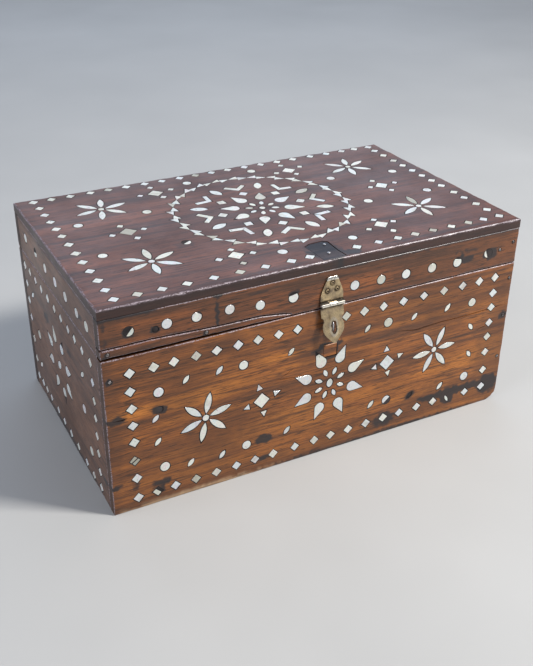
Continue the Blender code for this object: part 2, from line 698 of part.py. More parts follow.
def main():
    for item in list(bpy.data.objects):
        bpy.data.objects.remove(item)
    lid = axis_empty("lid_axis", (0, AXIS_Y, PARTING))
    strap_axis = axis_empty("strap_axis", (HASP_X, HASP_AXIS_Y, HASP_AXIS_Z), -STRAP_TILT)
    case_front()
    case_back()
    case_side("case_left", -1)
    case_side("case_right", 1)
    case_bottom()
    lid_top(lid)
    lid_front(lid)
    lid_front_splice(lid)
    lid_back(lid)
    lid_side("lid_left", -1, lid)
    lid_side("lid_right", 1, lid)
    hinges(lid)
    hasp_leaf(lid)
    hasp_strap(strap_axis)
    start = (HASP_X - HASP_WIDTH / 2 - HASP_PIN_PROUD, HASP_AXIS_Y, HASP_AXIS_Z)
    part("hasp_pin", rod(start, (1, 0, 0), HASP_WIDTH + 2 * HASP_PIN_PROUD, PIN), IRON, lid)
    hasp_staple()
    hasp_nails(lid)
    inlays(lid)
    repairs(lid)
    nails(lid)


main()
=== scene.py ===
"""Looks of the inlaid wooden box: worn boards, pearl inlay in mastic, old brass, light and camera.

Every board is built in its own face: u runs to the right and v up as one looks at that face from
outside, and w stands out of it. Layouts and small sizes are in millimetres, and the boards'
places come from the frame, in metres.
"""

import math
import random
from collections import namedtuple

import bmesh
import bpy
from mathutils import Matrix, Vector, noise
from mathutils.geometry import delaunay_2d_cdt
from mathutils.kdtree import KDTree


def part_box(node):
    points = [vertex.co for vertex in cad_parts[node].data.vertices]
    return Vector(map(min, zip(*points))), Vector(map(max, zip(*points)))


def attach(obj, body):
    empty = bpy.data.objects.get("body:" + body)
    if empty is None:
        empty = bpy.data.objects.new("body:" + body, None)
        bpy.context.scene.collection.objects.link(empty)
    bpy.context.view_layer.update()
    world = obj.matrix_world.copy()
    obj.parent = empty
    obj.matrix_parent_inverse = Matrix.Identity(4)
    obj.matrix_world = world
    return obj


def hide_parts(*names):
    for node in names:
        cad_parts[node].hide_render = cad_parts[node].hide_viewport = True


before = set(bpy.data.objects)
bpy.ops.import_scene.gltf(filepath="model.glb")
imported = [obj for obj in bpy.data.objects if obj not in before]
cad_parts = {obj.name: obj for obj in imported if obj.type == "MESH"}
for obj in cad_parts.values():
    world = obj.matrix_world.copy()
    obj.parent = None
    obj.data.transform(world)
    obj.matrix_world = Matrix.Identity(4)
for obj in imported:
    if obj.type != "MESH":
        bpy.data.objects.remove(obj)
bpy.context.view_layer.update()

MM = 0.001

# The inlay: its seats, the mastic in them and the pearl on top, in millimetres; tilts are slopes
SEAT_DEPTH = 1.3
PRISM_BOTTOM = -1.2
MASTIC_MARGIN = 0.8
MASTIC_GAP = 0.02
MASTIC_SUNK = 0.12
MASTIC_TILT = 0.002
EMPTY_BED = -0.6
PEARL_PROUD = 0.03
PEARL_BEVEL = 0.16
PEARL_TILT = 0.012
PLAIN_TONE = 0.5

# The boards' other seats: a nail hole's radius and depth, and how deep cracks and the plug go
NAIL_SEAT = (2.1, 1.3)
CRACK_DEPTH = 1.0
PLUG_DEPTH = 1.0

# The boards' points: their spacing in millimetres, then shares of that spacing
GRID = 3.4
GRID_JITTER = 0.2
GRID_CLEAR = 0.45
BORDER_STEP = 0.65

SEAT_STEP = 1.5
POINT_WELD = 1e-5
MITRE_LIMIT = 0.45
LEAST_RIM = 0.35
ARRIS = 0.3
SHARP = math.radians(38)
OPEN_FACE = -1

# ---------------------------------------------------------------- faces

Face = namedtuple("Face", "origin u v out")


def frame_faces():
    """The front, top, left, right and back, from the CAD boards' outer planes."""
    low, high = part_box("case_front")
    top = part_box("lid_top")[1].z
    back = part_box("case_back")[1].y
    places = {
        "front": ((0, low.y, 0), (1, 0, 0), (0, 0, 1), (0, -1, 0)),
        "top": ((0, 0, top), (1, 0, 0), (0, 1, 0), (0, 0, 1)),
        "left": ((low.x, 0, 0), (0, -1, 0), (0, 0, 1), (-1, 0, 0)),
        "right": ((high.x, 0, 0), (0, 1, 0), (0, 0, 1), (1, 0, 0)),
        "back": ((0, back, 0), (-1, 0, 0), (0, 0, 1), (0, 1, 0)),
    }
    return {name: Face(*map(Vector, place)) for name, place in places.items()}


FACES = frame_faces()


def to_world(face, u, v, w):
    """A point of a face, given in millimetres, in the frame's metres."""
    return face.origin + (face.u * u + face.v * v + face.out * w) * MM


def in_face(face, point):
    """A point of the frame as u, v and w millimetres of a face."""
    away = (point - face.origin) / MM
    return away.dot(face.u), away.dot(face.v), away.dot(face.out)


def node_rectangle(face, node):
    """A CAD node's extent in a face: low u, low v, high u, high v."""
    corners = [in_face(face, corner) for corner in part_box(node)]
    across = sorted(corner[0] for corner in corners)
    up = sorted(corner[1] for corner in corners)
    return across[0], up[0], across[1], up[1]


def node_depth(face, node):
    """A CAD node's thickness, square to a face."""
    levels = [in_face(face, corner)[2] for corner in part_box(node)]
    return max(levels) - min(levels)


def waviness(face, u, v):
    """How far the planed and worn surface stands off its plane, in millimetres."""
    along = Vector((u / 70, v / 22, face.out.x * 7 + face.out.y * 3))
    return 0.16 * noise.noise(along) + 0.05 * noise.noise(along * 3.7)


# ---------------------------------------------------------------- outlines, in millimetres


def arc(centre, radius, first, last, steps):
    """Points on a circle from one angle to another, in degrees."""
    angles = [math.radians(first + (last - first) * step / steps) for step in range(steps + 1)]
    return [(centre[0] + radius * math.cos(angle), centre[1] + radius * math.sin(angle)) for angle in angles]


def lozenge(half=4.7):
    """A square that stands on its corner."""
    return arc((0, 0), half, 0, 270, 3)


def disc(radius=4.4):
    """A round piece."""
    return arc((0, 0), radius, 0, 345, 23)


def leaf(length, width):
    """Two shallow arcs that meet in two points."""
    half = length / 2
    bulge = width / 2
    radius = (half * half + bulge * bulge) / (2 * bulge)
    spread = math.degrees(math.asin(half / radius))
    upper = arc((0, bulge - radius), radius, 90 - spread, 90 + spread, 8)
    lower = arc((0, radius - bulge), radius, 270 - spread, 270 + spread, 8)
    return upper[:-1] + lower[:-1]


def drop(length=18.5, width=10.4):
    """A round end and one point, the point to the right."""
    radius = width / 2
    reach = length - radius
    touch = math.degrees(math.acos(radius / reach))
    middle = radius - length / 2
    return arc((middle, 0), radius, touch, 360 - touch, 14) + [(middle + reach, 0)]


def triangle(size=8.0):
    """A three-cornered chip with one corner to the right."""
    return [(size * 0.5, 0), (-size * 0.4, size * 0.45), (-size * 0.4, -size * 0.45)]


def tooth(length, width, skew):
    """A triangle with its point to the right and its base shifted sideways."""
    return [(length / 2, 0), (-length / 2, skew + width / 2), (-length / 2, skew - width / 2)]


def chevron_arm(length, width, spread, side):
    """Half of an open V whose point is at the origin; the other half is its mirror image."""
    angle = math.radians(spread)
    along = Vector((math.cos(angle), math.sin(angle)))
    across = Vector((math.sin(angle), -math.cos(angle)))
    corners = [(0, 0), (width / math.sin(angle), 0), along * length + across * width, along * length]
    if side > 0:
        return [tuple(corner) for corner in corners]
    return [(corner[0], -corner[1]) for corner in reversed(corners)]


def turned_to(outline, place, angle):
    """The outline turned by an angle in degrees and moved to its place."""
    cosine, sine = math.cos(math.radians(angle)), math.sin(math.radians(angle))
    return [(place[0] + u * cosine - v * sine, place[1] + u * sine + v * cosine) for u, v in outline]


def middle_of(outline):
    """The mean of the outline's points."""
    return (sum(u for u, _ in outline) / len(outline), sum(v for _, v in outline) / len(outline))


def outward(outline):
    """How each point of an anticlockwise outline moves when its sides move out by one."""
    moves = []
    for number, here in enumerate(outline):
        before, after = Vector(outline[number - 1]), Vector(outline[(number + 1) % len(outline)])
        first = (Vector(here) - before).normalized()
        second = (after - Vector(here)).normalized()
        middle = Vector((first.y + second.y, -first.x - second.x)).normalized()
        moves.append(middle / max(middle.dot(Vector((first.y, -first.x))), MITRE_LIMIT))
    return moves


def grown(outline, distance):
    """The outline moved outward, with mitred corners."""
    moves = outward(outline)
    return [(u + move.x * distance, v + move.y * distance) for (u, v), move in zip(outline, moves)]


def cut_back(outline, angle, keep):
    """What is left when the part of an outline that looks along the angle is lost."""
    direction = Vector((math.cos(math.radians(angle)), math.sin(math.radians(angle))))
    levels = [Vector(point).dot(direction) for point in outline]
    limit = min(levels) + (max(levels) - min(levels)) * keep
    left = []
    for number, level in enumerate(levels):
        point, before = Vector(outline[number]), Vector(outline[number - 1])
        if (level > limit) != (levels[number - 1] > limit):
            share = (limit - levels[number - 1]) / (level - levels[number - 1])
            left.append(tuple(before.lerp(point, share)))
        if level <= limit:
            left.append(tuple(point))
    return left


# ---------------------------------------------------------------- inlay layouts

Inlay = namedtuple("Inlay", "seat pearls tone")


def inlay(rng, outline, place, angle=0.0, lost=None):
    """One piece of pearl, set by hand: a little off its place, and perhaps chipped or gone.

    lost is None, "all", or the (angle, share kept) of a chip.
    """
    scale = rng.uniform(0.95, 1.05)
    shaped = [(u * scale, v * scale) for u, v in outline]
    if len(shaped) < 6:
        shaped = [(u + rng.uniform(-0.25, 0.25), v + rng.uniform(-0.25, 0.25)) for u, v in shaped]
    pearl = turned_to(shaped, place, angle + rng.uniform(-3, 3))
    seat = grown(pearl, MASTIC_MARGIN * rng.uniform(0.75, 1.25))
    tone = rng.random()
    if lost == "all":
        return Inlay(seat, [], tone)
    if lost:
        pearl = cut_back(pearl, *lost)
    return Inlay(seat, [pearl], tone)


def split_inlay(rng, outline, place, angle, gap_angle):
    """A piece cracked in two, with mastic showing in the crack."""
    whole = inlay(rng, outline, place, angle)
    halves = [cut_back(whole.pearls[0], gap_angle + turn, 0.42) for turn in (0, 180)]
    return Inlay(whole.seat, halves, whole.tone)


def row(rng, places, start, end, upright=False):
    """Lozenges at the given places, while the other coordinate drifts from start to end."""
    pieces = []
    for place in places:
        share = (place - places[0]) / (places[-1] - places[0])
        other = start + (end - start) * share
        pieces.append(inlay(rng, lozenge(), (other, place) if upright else (place, other)))
    return pieces


def star(rng, centre, angles, length=20.5, width=6.0):
    """Six petals round a small bead."""
    pieces = [inlay(rng, disc(2.9), centre)]
    for angle in angles:
        reach = 4.6 + length / 2
        place = turned_to([(reach, 0)], centre, angle)[0]
        pieces.append(inlay(rng, leaf(length, width), place, angle))
    return pieces


def around(centre, radius, angle):
    """The place at a distance from a centre, at an angle in degrees."""
    return turned_to([(radius, 0)], centre, angle)[0]


def chips_round(rng, centre, shape, places):
    """Small chips round a large diamond, each pointing away from it."""
    pieces = []
    for place in places:
        angle = math.degrees(math.atan2(place[1] - centre[1], place[0] - centre[0]))
        pieces.append(inlay(rng, shape, place, angle))
    return pieces


def node_middle(face, node):
    """The middle of a CAD node in a face."""
    low_u, low_v, high_u, high_v = node_rectangle(face, node)
    return (low_u + high_u) / 2, (low_v + high_v) / 2


def at_nodes(rng, face, prefix):
    """The large diamonds that the CAD model has, each in the middle of its own node."""
    nodes = sorted(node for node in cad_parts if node.startswith(prefix))
    return {f"{node}_pearl": [inlay(rng, lozenge(8.0), node_middle(face, node))] for node in nodes}


def discs(rng, places, radius=4.4):
    return [inlay(rng, disc(radius), place) for place in places]


def seeds(rng, places, angle, length=9.0, width=4.2):
    return [inlay(rng, leaf(length, width), place, angle) for place in places]


def front_case_inlay(rng):
    face = FACES["front"]
    border = row(rng, [-187, -166, -148, -128, -109, -89, -70, -50, -31], 139.5, 141.7)
    border += row(rng, [19, 38, 59, 81, 104, 127, 149, 169, 188], 142.8, 144.8)
    border += row(rng, [-152, -132, -112, -92, -73, -54, -31, -10, 8, 28, 48, 68, 87, 108, 128], 12.8, 18.8)
    border += row(rng, [168, 189], 18.8, 19.8)
    border += row(rng, [12, 33, 71, 88, 105, 122], -187, -187.5, upright=True)
    border += row(rng, [40, 61, 79, 95, 112, 128], 188.5, 188, upright=True)
    border.append(split_inlay(rng, lozenge(), (-188, 52), 0, 125))
    border.append(inlay(rng, lozenge(), (-169, 12.5), 0, lost=(45, 0.6)))
    border.append(inlay(rng, leaf(9, 3), (145, 17.5), 120))
    rounds = discs(rng, ((-163, 114.5), (-84, 119.3), (65.5, 125), (163, 123.3), (-161, 36.8)))
    rounds += discs(rng, ((-81.5, 33.8), (164.5, 38.8)))
    rounds.append(inlay(rng, disc(), (70, 38), 0, lost=(-50, 0.55)))
    rounds.append(inlay(rng, disc(3.0), (-163, 97.5), lost="all"))
    rising = [(-138, 120), (-107, 120.5), (-37, 120.5), (43, 124), (95, 124), (133.5, 124.5), (-167, 89)]
    rising += [(-166, 65), (-136.5, 33), (-106, 31.5), (-40, 37), (52, 38), (134.5, 35.5)]
    scattered = seeds(rng, rising, 50) + seeds(rng, ((165, 96), (167, 64.5)), 125)
    scattered.append(inlay(rng, leaf(8, 4), (98, 35.5), 50, lost="all"))
    chips = chips_round(rng, (-66, 78), triangle(6.5), ((-69, 92), (-51, 82), (-64, 63), (-81, 74)))
    chips += chips_round(rng, (67.5, 81), triangle(6.5), ((66, 96.5), (82.5, 85.5), (69.5, 68.5), (53, 79)))
    drops = [f"front_drop_{number + 1}" for number in range(8)]
    middles = [node_middle(face, node) for node in drops]
    centre = middle_of(middles)
    flower = [inlay(rng, leaf(9.5, 6.5), centre, 80)]
    groups = {}
    for number, node in enumerate(drops):
        angle = 22.5 + 45 * number
        flower.append(inlay(rng, leaf(8, 4), around(centre, 12.6, angle), angle))
        lost = (angle, 0.8) if number == 2 else None
        groups[f"{node}_pearl"] = [inlay(rng, drop(), around(centre, 30.5, angle), angle, lost)]
    return groups | at_nodes(rng, face, "front_diamond") | {
        "front_border_pearls": border,
        "front_disc_pearls": rounds,
        "front_seed_pearls": scattered,
        "front_chip_pearls": chips,
        "front_flower_pearls": flower,
        "front_left_star_pearls": star(rng, (-121, 75.8), (80, 16, -41, -101, 200, 140)),
        "front_right_star_pearls": star(rng, (122.5, 80.8), (65, 4, -54, -114, 188, 123)),
    }


def front_lid_inlay(rng):
    whole = ((-152.5, 177), (-96.5, 176.8), (-68, 174), (26, 172), (54, 171.5), (81, 171.3), (110, 171.3))
    pieces = discs(rng, whole)
    chipped = (((-185, 178), (140, 0.4)), ((-126.3, 177), (60, 0.88)), ((-36, 174), (100, 0.78)))
    chipped += (((139, 171), (80, 0.84)), ((175, 173), (20, 0.3)))
    pieces += [inlay(rng, disc(), place, 0, lost) for place, lost in chipped]
    pieces.append(inlay(rng, disc(2.2), (-162.5, 174.5), lost="all"))
    return {"front_lid_disc_pearls": pieces}


def rosette(rng, centre):
    """The top's eightfold rosette: bead, petals, drops, lozenges, chevrons and outer leaves."""
    pieces = [inlay(rng, disc(3.1), centre)]
    for number in range(8):
        straight = 45 * number
        between = straight + 22.5
        pieces.append(inlay(rng, leaf(8, 4.4), around(centre, 12.8, between), between))
        pieces.append(inlay(rng, drop(19, 11), around(centre, 31.5, between), between))
        pieces.append(inlay(rng, lozenge(5.3), around(centre, 42.3, straight), straight))
        pieces.append(inlay(rng, leaf(17.5, 8.2), around(centre, 61.5, between), between))
        for side in (-1, 1):
            arm = chevron_arm(16, 4.6, 50, side)
            pieces.append(inlay(rng, arm, around(centre, 52, straight), straight))
    return pieces


def triangle_ring(rng, centre, radius, count):
    """Small triangles in touching pairs, point to point and base to base."""
    pieces = []
    length = math.tau * radius / count
    for number in range(count):
        angle = 360 * (number + 0.5) / count
        ahead = 90 if number % 2 == 0 else -90
        shape = tooth(length * 0.97, rng.uniform(6.6, 8.4), rng.uniform(-2.6, -1.2))
        pieces.append(inlay(rng, shape, around(centre, radius, angle), angle + ahead))
    return pieces


def top_inlay(rng):
    border = row(rng, [-192, -174, -155, -134, -115, -96, -76, -57, -37, -19], 119.6, 120.6)
    border += row(rng, [0, 19, 39, 59, 79, 99, 121, 142, 162, 179], 121, 121.5)
    border += row(rng, [-191, -171, -150, -128, -104, -80, -56, -31, -13], -113.8, -113)
    border += row(rng, [35, 58, 79, 98, 118, 139, 159, 177, 196], -113, -112)
    border += row(rng, [-95, -76, -56, -36, -16, 5, 26, 44, 63, 82, 101], -191.5, -191, upright=True)
    border += row(rng, [-94, -77, -58, -41, -20, -3, 14, 32, 50, 68, 88, 106, 120], 196, 197, upright=True)
    rounds = discs(rng, ((-170.5, 43.3), (-101.5, 46.8), (-172, -31), (-36, 103), (40, 106), (-29, -93)))
    rounds += discs(rng, ((42.5, -94), (105, 49.5), (105, -23), (176, 39.5), (175.5, -24)))
    rounds.append(inlay(rng, disc(), (-96, -36.5), 0, lost=(120, 0.45)))
    chips = []
    for centre, places in (
        ((-74, 91), ((-75, 107), (-92, 90), (-58, 93.5), (-72.5, 76.5))),
        ((79, 92), ((77, 108.5), (94, 96.5), (61.5, 89), (79.5, 77.5))),
        ((-69, -83), ((-67.5, -69), (-85.5, -83), (-53, -83), (-70, -99))),
        ((83, -81), ((83, -67), (66.5, -84), (97.5, -78), (84.5, -97))),
        ((-134, 9), ((-136.5, 24.5), (-150, 7), (-119, 9), (-131.5, -8))),
        ((142, 9), ((140, 23.5), (128, 8.5), (158, 9), (143, -8))),
    ):
        chips += chips_round(rng, centre, lozenge(3.5), places)
    diamonds = at_nodes(rng, FACES["top"], "top_diamond")
    stars = {}
    for place, centre, angles in (
        ("back_left", (-138.5, 72.8), (74, 12, -44, -105, 192, 133)),
        ("front_left", (-138.5, -60.5), (84, 24, -36, -96, 203, 144)),
        ("back_right", (140.8, 73), (72, 22, -44, -105, 201, 134)),
        ("front_right", (142, -56.3), (81, 27, -35, -96, 206, 143)),
    ):
        stars[f"top_{place}_star_pearls"] = star(rng, centre, angles, 22, 6.4)
    return diamonds | {
        "top_border_pearls": border,
        "top_disc_pearls": rounds,
        "top_chip_pearls": chips,
        **stars,
        "top_rosette_pearls": rosette(rng, (2.6, 7.2)),
        "top_ring_pearls": triangle_ring(rng, (2.0, 8.0), 86.0, 54),
    }


def mirrored(piece):
    """The same piece on the other side of the face's middle, its outlines still anticlockwise."""
    seat = [(-u, v) for u, v in reversed(piece.seat)]
    pearls = [[(-u, v) for u, v in reversed(pearl)] for pearl in piece.pearls]
    return Inlay(seat, pearls, piece.tone)


def side_case_inlay(rng, side):
    """The pattern of the left side or, mirrored, of the right side."""
    border = row(rng, [-110, -92, -72, -52, -30, -8, 12, 34, 53, 74, 96], 142, 139.5)
    border += row(rng, [-94, -80, -64, -40, -19, 3, 26, 51, 72], 13, 6.5)
    border += row(rng, [13, 34, 58, 83, 103, 122], -110.5, -110.5, upright=True)
    border += row(rng, [7, 25, 46, 65, 84, 102, 121], 93, 97.5, upright=True)
    scattered = seeds(rng, ((-91.5, 117), (67, 112), (-91.5, 36.5)), 40, 12, 4.6)
    rounds = discs(rng, ((61.5, 73), (72, 33.6), (-83.6, 76)))
    centre = (-12, 79)
    flower = [inlay(rng, leaf(12, 8), centre, 35)]
    for number in range(8):
        angle = 15 + 45 * number
        lost = (angle, 0.55) if number in (1, 6) else None
        flower.append(inlay(rng, drop(17, 10), around(centre, 31, angle), angle, lost))
    groups = {"border": border, "seed": scattered, "disc": rounds, "flower": flower}
    if side == "right":
        groups = {name: [mirrored(piece) for piece in pieces] for name, pieces in groups.items()}
    return {f"{side}_{name}_pearls": pieces for name, pieces in groups.items()}


def side_lid_inlay(rng, side):
    pieces = discs(rng, ((-92, 178), (-25, 174.5), (6, 174), (37, 173.5), (69, 173), (95, 173)), 4.6)
    pieces.append(inlay(rng, disc(4.6), (-56.5, 177), 0, lost=(100, 0.5)))
    if side == "right":
        pieces = [mirrored(piece) for piece in pieces]
    return {f"{side}_lid_disc_pearls": pieces}


# ---------------------------------------------------------------- materials


class Nodes:
    """A material's node tree, with short ways to add and join nodes."""

    def __init__(self, name):
        self.material = bpy.data.materials.new(name)
        self.material.use_nodes = True
        self.tree = self.material.node_tree
        self.surface = self.tree.nodes["Principled BSDF"]

    def add(self, kind, **settings):
        node = self.tree.nodes.new(kind)
        for name, value in settings.items():
            setattr(node, name, value)
        return node

    def join(self, output, socket):
        self.tree.links.new(output, socket)

    def noise(self, stretch, detail=4.0, roughness=0.55, distortion=0.0):
        """Noise over the object's own coordinates; stretch is how many swells there are in a metre."""
        place = self.add("ShaderNodeTexCoord")
        scaled = self.add("ShaderNodeMapping")
        scaled.inputs["Scale"].default_value = stretch
        texture = self.add("ShaderNodeTexNoise")
        texture.inputs["Scale"].default_value = 1.0
        texture.inputs["Detail"].default_value = detail
        texture.inputs["Roughness"].default_value = roughness
        texture.inputs["Distortion"].default_value = distortion
        self.join(place.outputs["Object"], scaled.inputs["Vector"])
        self.join(scaled.outputs["Vector"], texture.inputs["Vector"])
        return texture.outputs["Fac"]

    def attribute(self, name):
        return self.add("ShaderNodeAttribute", attribute_name=name).outputs["Fac"]

    def ramp(self, value, *stops):
        """Colours or greys at places from 0 to 1 along a value."""
        ramp = self.add("ShaderNodeValToRGB")
        elements = ramp.color_ramp.elements
        while len(elements) < len(stops):
            elements.new(0.5)
        for element, (place, colour) in zip(elements, stops):
            element.position = place
            element.color = (*colour, 1) if isinstance(colour, tuple) else (colour, colour, colour, 1)
        self.join(value, ramp.inputs["Fac"])
        return ramp.outputs["Color"]

    def math(self, operation, first, second):
        """Two values joined by arithmetic, kept between 0 and 1; each may be a number or an output."""
        node = self.add("ShaderNodeMath", operation=operation, use_clamp=True)
        for socket, value in zip(node.inputs, (first, second)):
            if isinstance(value, float):
                socket.default_value = value
            else:
                self.join(value, socket)
        return node.outputs["Value"]

    def mix(self, share, first, second, blend="MIX"):
        """Two colours mixed; each may be a colour or an output."""
        node = self.add("ShaderNodeMix", data_type="RGBA", blend_type=blend)
        sockets = [node.inputs["Factor"], node.inputs[6], node.inputs[7]]
        for socket, value in zip(sockets, (share, first, second)):
            if isinstance(value, float):
                socket.default_value = value
            elif isinstance(value, tuple):
                socket.default_value = (*value, 1)
            else:
                self.join(value, socket)
        return node.outputs[2]

    def bump(self, heights):
        """Bumps stacked on each other: (height output, strength, distance in millimetres)."""
        normal = None
        for height, strength, distance in heights:
            node = self.add("ShaderNodeBump")
            node.inputs["Strength"].default_value = strength
            node.inputs["Distance"].default_value = distance * MM
            self.join(height, node.inputs["Height"])
            if normal:
                self.join(normal, node.inputs["Normal"])
            normal = node.outputs["Normal"]
        self.join(normal, self.surface.inputs["Normal"])

    def finish(self, colour, roughness, **constants):
        self.join(colour, self.surface.inputs["Base Color"])
        self.join(roughness, self.surface.inputs["Roughness"])
        for name, value in constants.items():
            self.surface.inputs[name.replace("_", " ")].default_value = value
        return self.material


def along_grain(axis, along, across):
    """Swells in a metre along the grain and across it, for a grain that runs along X, Y or Z."""
    return tuple(along if number == axis else across for number in range(3))


RUBBED_GLINT = (0.42, 0.36, 0.41)
RAW_PALE = (0.50, 0.33, 0.19)
RAW_DARK = (0.20, 0.11, 0.055)
STAIN = (0.014, 0.012, 0.014)


def wood(name, grain, pale, middle, dark, gloss):
    """Old varnished hardwood: figure, dark veins, pores, grime, stains, painted shade, side walls darkened
    for their own colour and for painted shade in the seams, and rubbed arrises with a painted lilac glint.
    """
    nodes = Nodes(name)
    figure = nodes.noise(along_grain(grain, 4, 60), 7.0, 0.62, 0.5)
    veins = nodes.noise(along_grain(grain, 12, 300), 5.0, 0.62, 0.6)
    flecks = nodes.noise(along_grain(grain, 55, 900), 3.0, 0.55, 0.2)
    pores = nodes.noise(along_grain(grain, 130, 2800), 2.0, 0.5)
    clouds = nodes.noise((13, 13, 17), 4.0, 0.6)
    grit = nodes.noise((900, 900, 900), 3.0, 0.6)
    black = tuple(value * 0.3 for value in dark)
    colour = nodes.ramp(figure, (0.34, dark), (0.46, middle), (0.60, pale))
    for value, first, last, over in (
        (veins, (0.36, 0.80), (0.48, 0.0), dark),
        (flecks, (0.34, 0.85), (0.44, 0.0), black),
        (flecks, (0.58, 0.0), (0.72, 0.35), pale),
        (pores, (0.34, 0.6), (0.44, 0.0), black),
        (clouds, (0.45, 0.0), (0.70, 0.55), dark),
    ):
        colour = nodes.mix(nodes.ramp(value, first, last), colour, over)
    # Painted shade from the shade spots; the side walls darkened, partly their own darker colour and partly
    # painted shade in the seams between boards.
    for attribute, strength, over in (("shade", 0.75, dark), ("dark_edges_and_shade", 0.8, black)):
        colour = nodes.mix(nodes.math("MULTIPLY", nodes.attribute(attribute), strength), colour, over)
    # Rubbed arrises turn pale lilac: wear, with a painted glint on top of it.
    rubbed_glint = nodes.math("MULTIPLY", nodes.attribute("wear_and_glint"), nodes.ramp(grit, (0.40, 0.0), (0.60, 1.0)))
    colour = nodes.mix(nodes.math("MULTIPLY", rubbed_glint, 0.8), colour, RUBBED_GLINT)
    raw = nodes.mix(nodes.ramp(veins, (0.35, 1.0), (0.6, 0.0)), RAW_PALE, RAW_DARK)
    colour = nodes.mix(nodes.attribute("raw"), colour, raw)
    speckle = nodes.ramp(flecks, (0.30, 1.0), (0.70, 0.25))
    stain = nodes.attribute("stain")
    stained = nodes.math("MULTIPLY", stain, nodes.math("ADD", speckle, stain))
    colour = nodes.mix(nodes.ramp(stained, (0.22, 0.0), (0.55, 0.93)), colour, STAIN)
    dry = nodes.ramp(clouds, (0.30, gloss - 0.08), (0.70, gloss + 0.16))
    roughness = nodes.mix(nodes.math("MULTIPLY", nodes.attribute("wear_and_glint"), 0.7), dry, (0.24, 0.24, 0.24))
    heights = [(figure, 0.35, 0.5), (veins, 0.35, 0.25), (flecks, 0.5, 0.22), (pores, 0.4, 0.1)]
    nodes.bump([*heights, (grit, 0.15, 0.05)])
    return nodes.finish(colour, roughness, Coat_Weight=0.10, Coat_Roughness=0.22)


def mastic():
    """The dark resin putty that beds the pearl."""
    nodes = Nodes("mastic")
    lumps = nodes.noise((700, 700, 700), 4.0)
    patches = nodes.noise((60, 60, 60), 3.0)
    colour = nodes.ramp(patches, (0.35, (0.012, 0.010, 0.011)), (0.66, (0.050, 0.042, 0.042)))
    nodes.bump([(lumps, 0.6, 0.15)])
    return nodes.finish(colour, nodes.ramp(lumps, (0.3, 0.6), (0.7, 0.9)), Specular_IOR_Level=0.25)


def pearl():
    """Mother of pearl: each piece its own tone, with soft bands of growth and a satin lustre."""
    nodes = Nodes("mother_of_pearl")
    bands = nodes.noise((260, 90, 170), 3.0, 0.5, 1.4)
    cloud = nodes.noise((95, 95, 95), 2.0)
    scratches = nodes.noise((2200, 700, 1500), 2.0)
    tone = nodes.ramp(
        nodes.attribute("tone"),
        (0.0, (0.36, 0.34, 0.28)), (0.10, (0.56, 0.55, 0.50)), (0.25, (0.69, 0.69, 0.66)),
        (0.5, (0.61, 0.64, 0.67)), (0.7, (0.73, 0.72, 0.68)), (0.88, (0.62, 0.66, 0.71)),
        (1.0, (0.62, 0.59, 0.60)),
    )
    hue = nodes.ramp(
        bands, (0.32, (0.80, 0.95, 1.0)), (0.44, (1.0, 0.97, 0.92)), (0.52, (0.90, 1.0, 0.93)),
        (0.62, (1.0, 0.88, 0.92)), (0.72, (0.78, 0.80, 0.80)),
    )
    colour = nodes.mix(1.0, tone, hue, "MULTIPLY")
    colour = nodes.mix(nodes.ramp(cloud, (0.52, 0.0), (0.72, 0.5)), colour, (0.34, 0.32, 0.26))
    flaws = nodes.noise((420, 150, 330), 5.0, 0.65)
    colour = nodes.mix(nodes.ramp(flaws, (0.31, 0.85), (0.38, 0.0)), colour, (0.13, 0.11, 0.085))
    nodes.bump([(bands, 0.3, 0.15), (flaws, 0.35, 0.12), (scratches, 0.15, 0.03)])
    roughness = nodes.ramp(cloud, (0.3, 0.20), (0.75, 0.45))
    return nodes.finish(colour, roughness, Coat_Weight=0.4, Coat_Roughness=0.12)


def metal(name, bright, dull, pit, polish, swells):
    """Old metal: bright where hands rub it, with a painted highlight there; brown in its hollows; dark where
    dirt sits and with painted shade under and between parts.
    """
    nodes = Nodes(name)
    patina = nodes.noise((swells, swells, swells), 4.0, 0.55)
    pits = nodes.noise((1500, 1500, 1500), 3.0)
    scratches = nodes.noise((260, 900, 3400), 2.0)
    colour = nodes.ramp(patina, (0.36, dull), (0.66, bright))
    colour = nodes.mix(nodes.ramp(pits, (0.30, 0.85), (0.42, 0.0)), colour, pit)
    # Paler where rubbed, with a painted highlight on the knuckles and the leaf's bent tip.
    colour = nodes.mix(nodes.attribute("wear_and_glint"), colour, (0.86, 0.82, 0.72))
    # Dark where dirt sits, and painted shade under and between the hasp's parts.
    colour = nodes.mix(nodes.attribute("dirt_and_shade"), colour, pit)
    roughness = nodes.ramp(patina, (0.35, 0.58), (0.68, polish))
    roughness = nodes.mix(nodes.attribute("wear_and_glint"), roughness, (0.2, 0.2, 0.2))
    roughness = nodes.mix(nodes.attribute("dirt_and_shade"), roughness, (0.8, 0.8, 0.8))
    nodes.bump([(patina, 0.3, 0.2), (pits, 0.35, 0.06), (scratches, 0.15, 0.03)])
    return nodes.finish(colour, roughness, Metallic=1.0)


def floor_paint():
    nodes = Nodes("pale_floor")
    wash = nodes.noise((3, 3, 3), 3.0)
    colour = nodes.ramp(wash, (0.3, (0.455, 0.46, 0.455)), (0.7, (0.50, 0.505, 0.50)))
    nodes.bump([(nodes.noise((220, 220, 220), 3.0), 0.1, 0.2)])
    return nodes.finish(colour, nodes.ramp(wash, (0.3, 0.6), (0.7, 0.7)))


X_GRAIN, Y_GRAIN = 0, 1

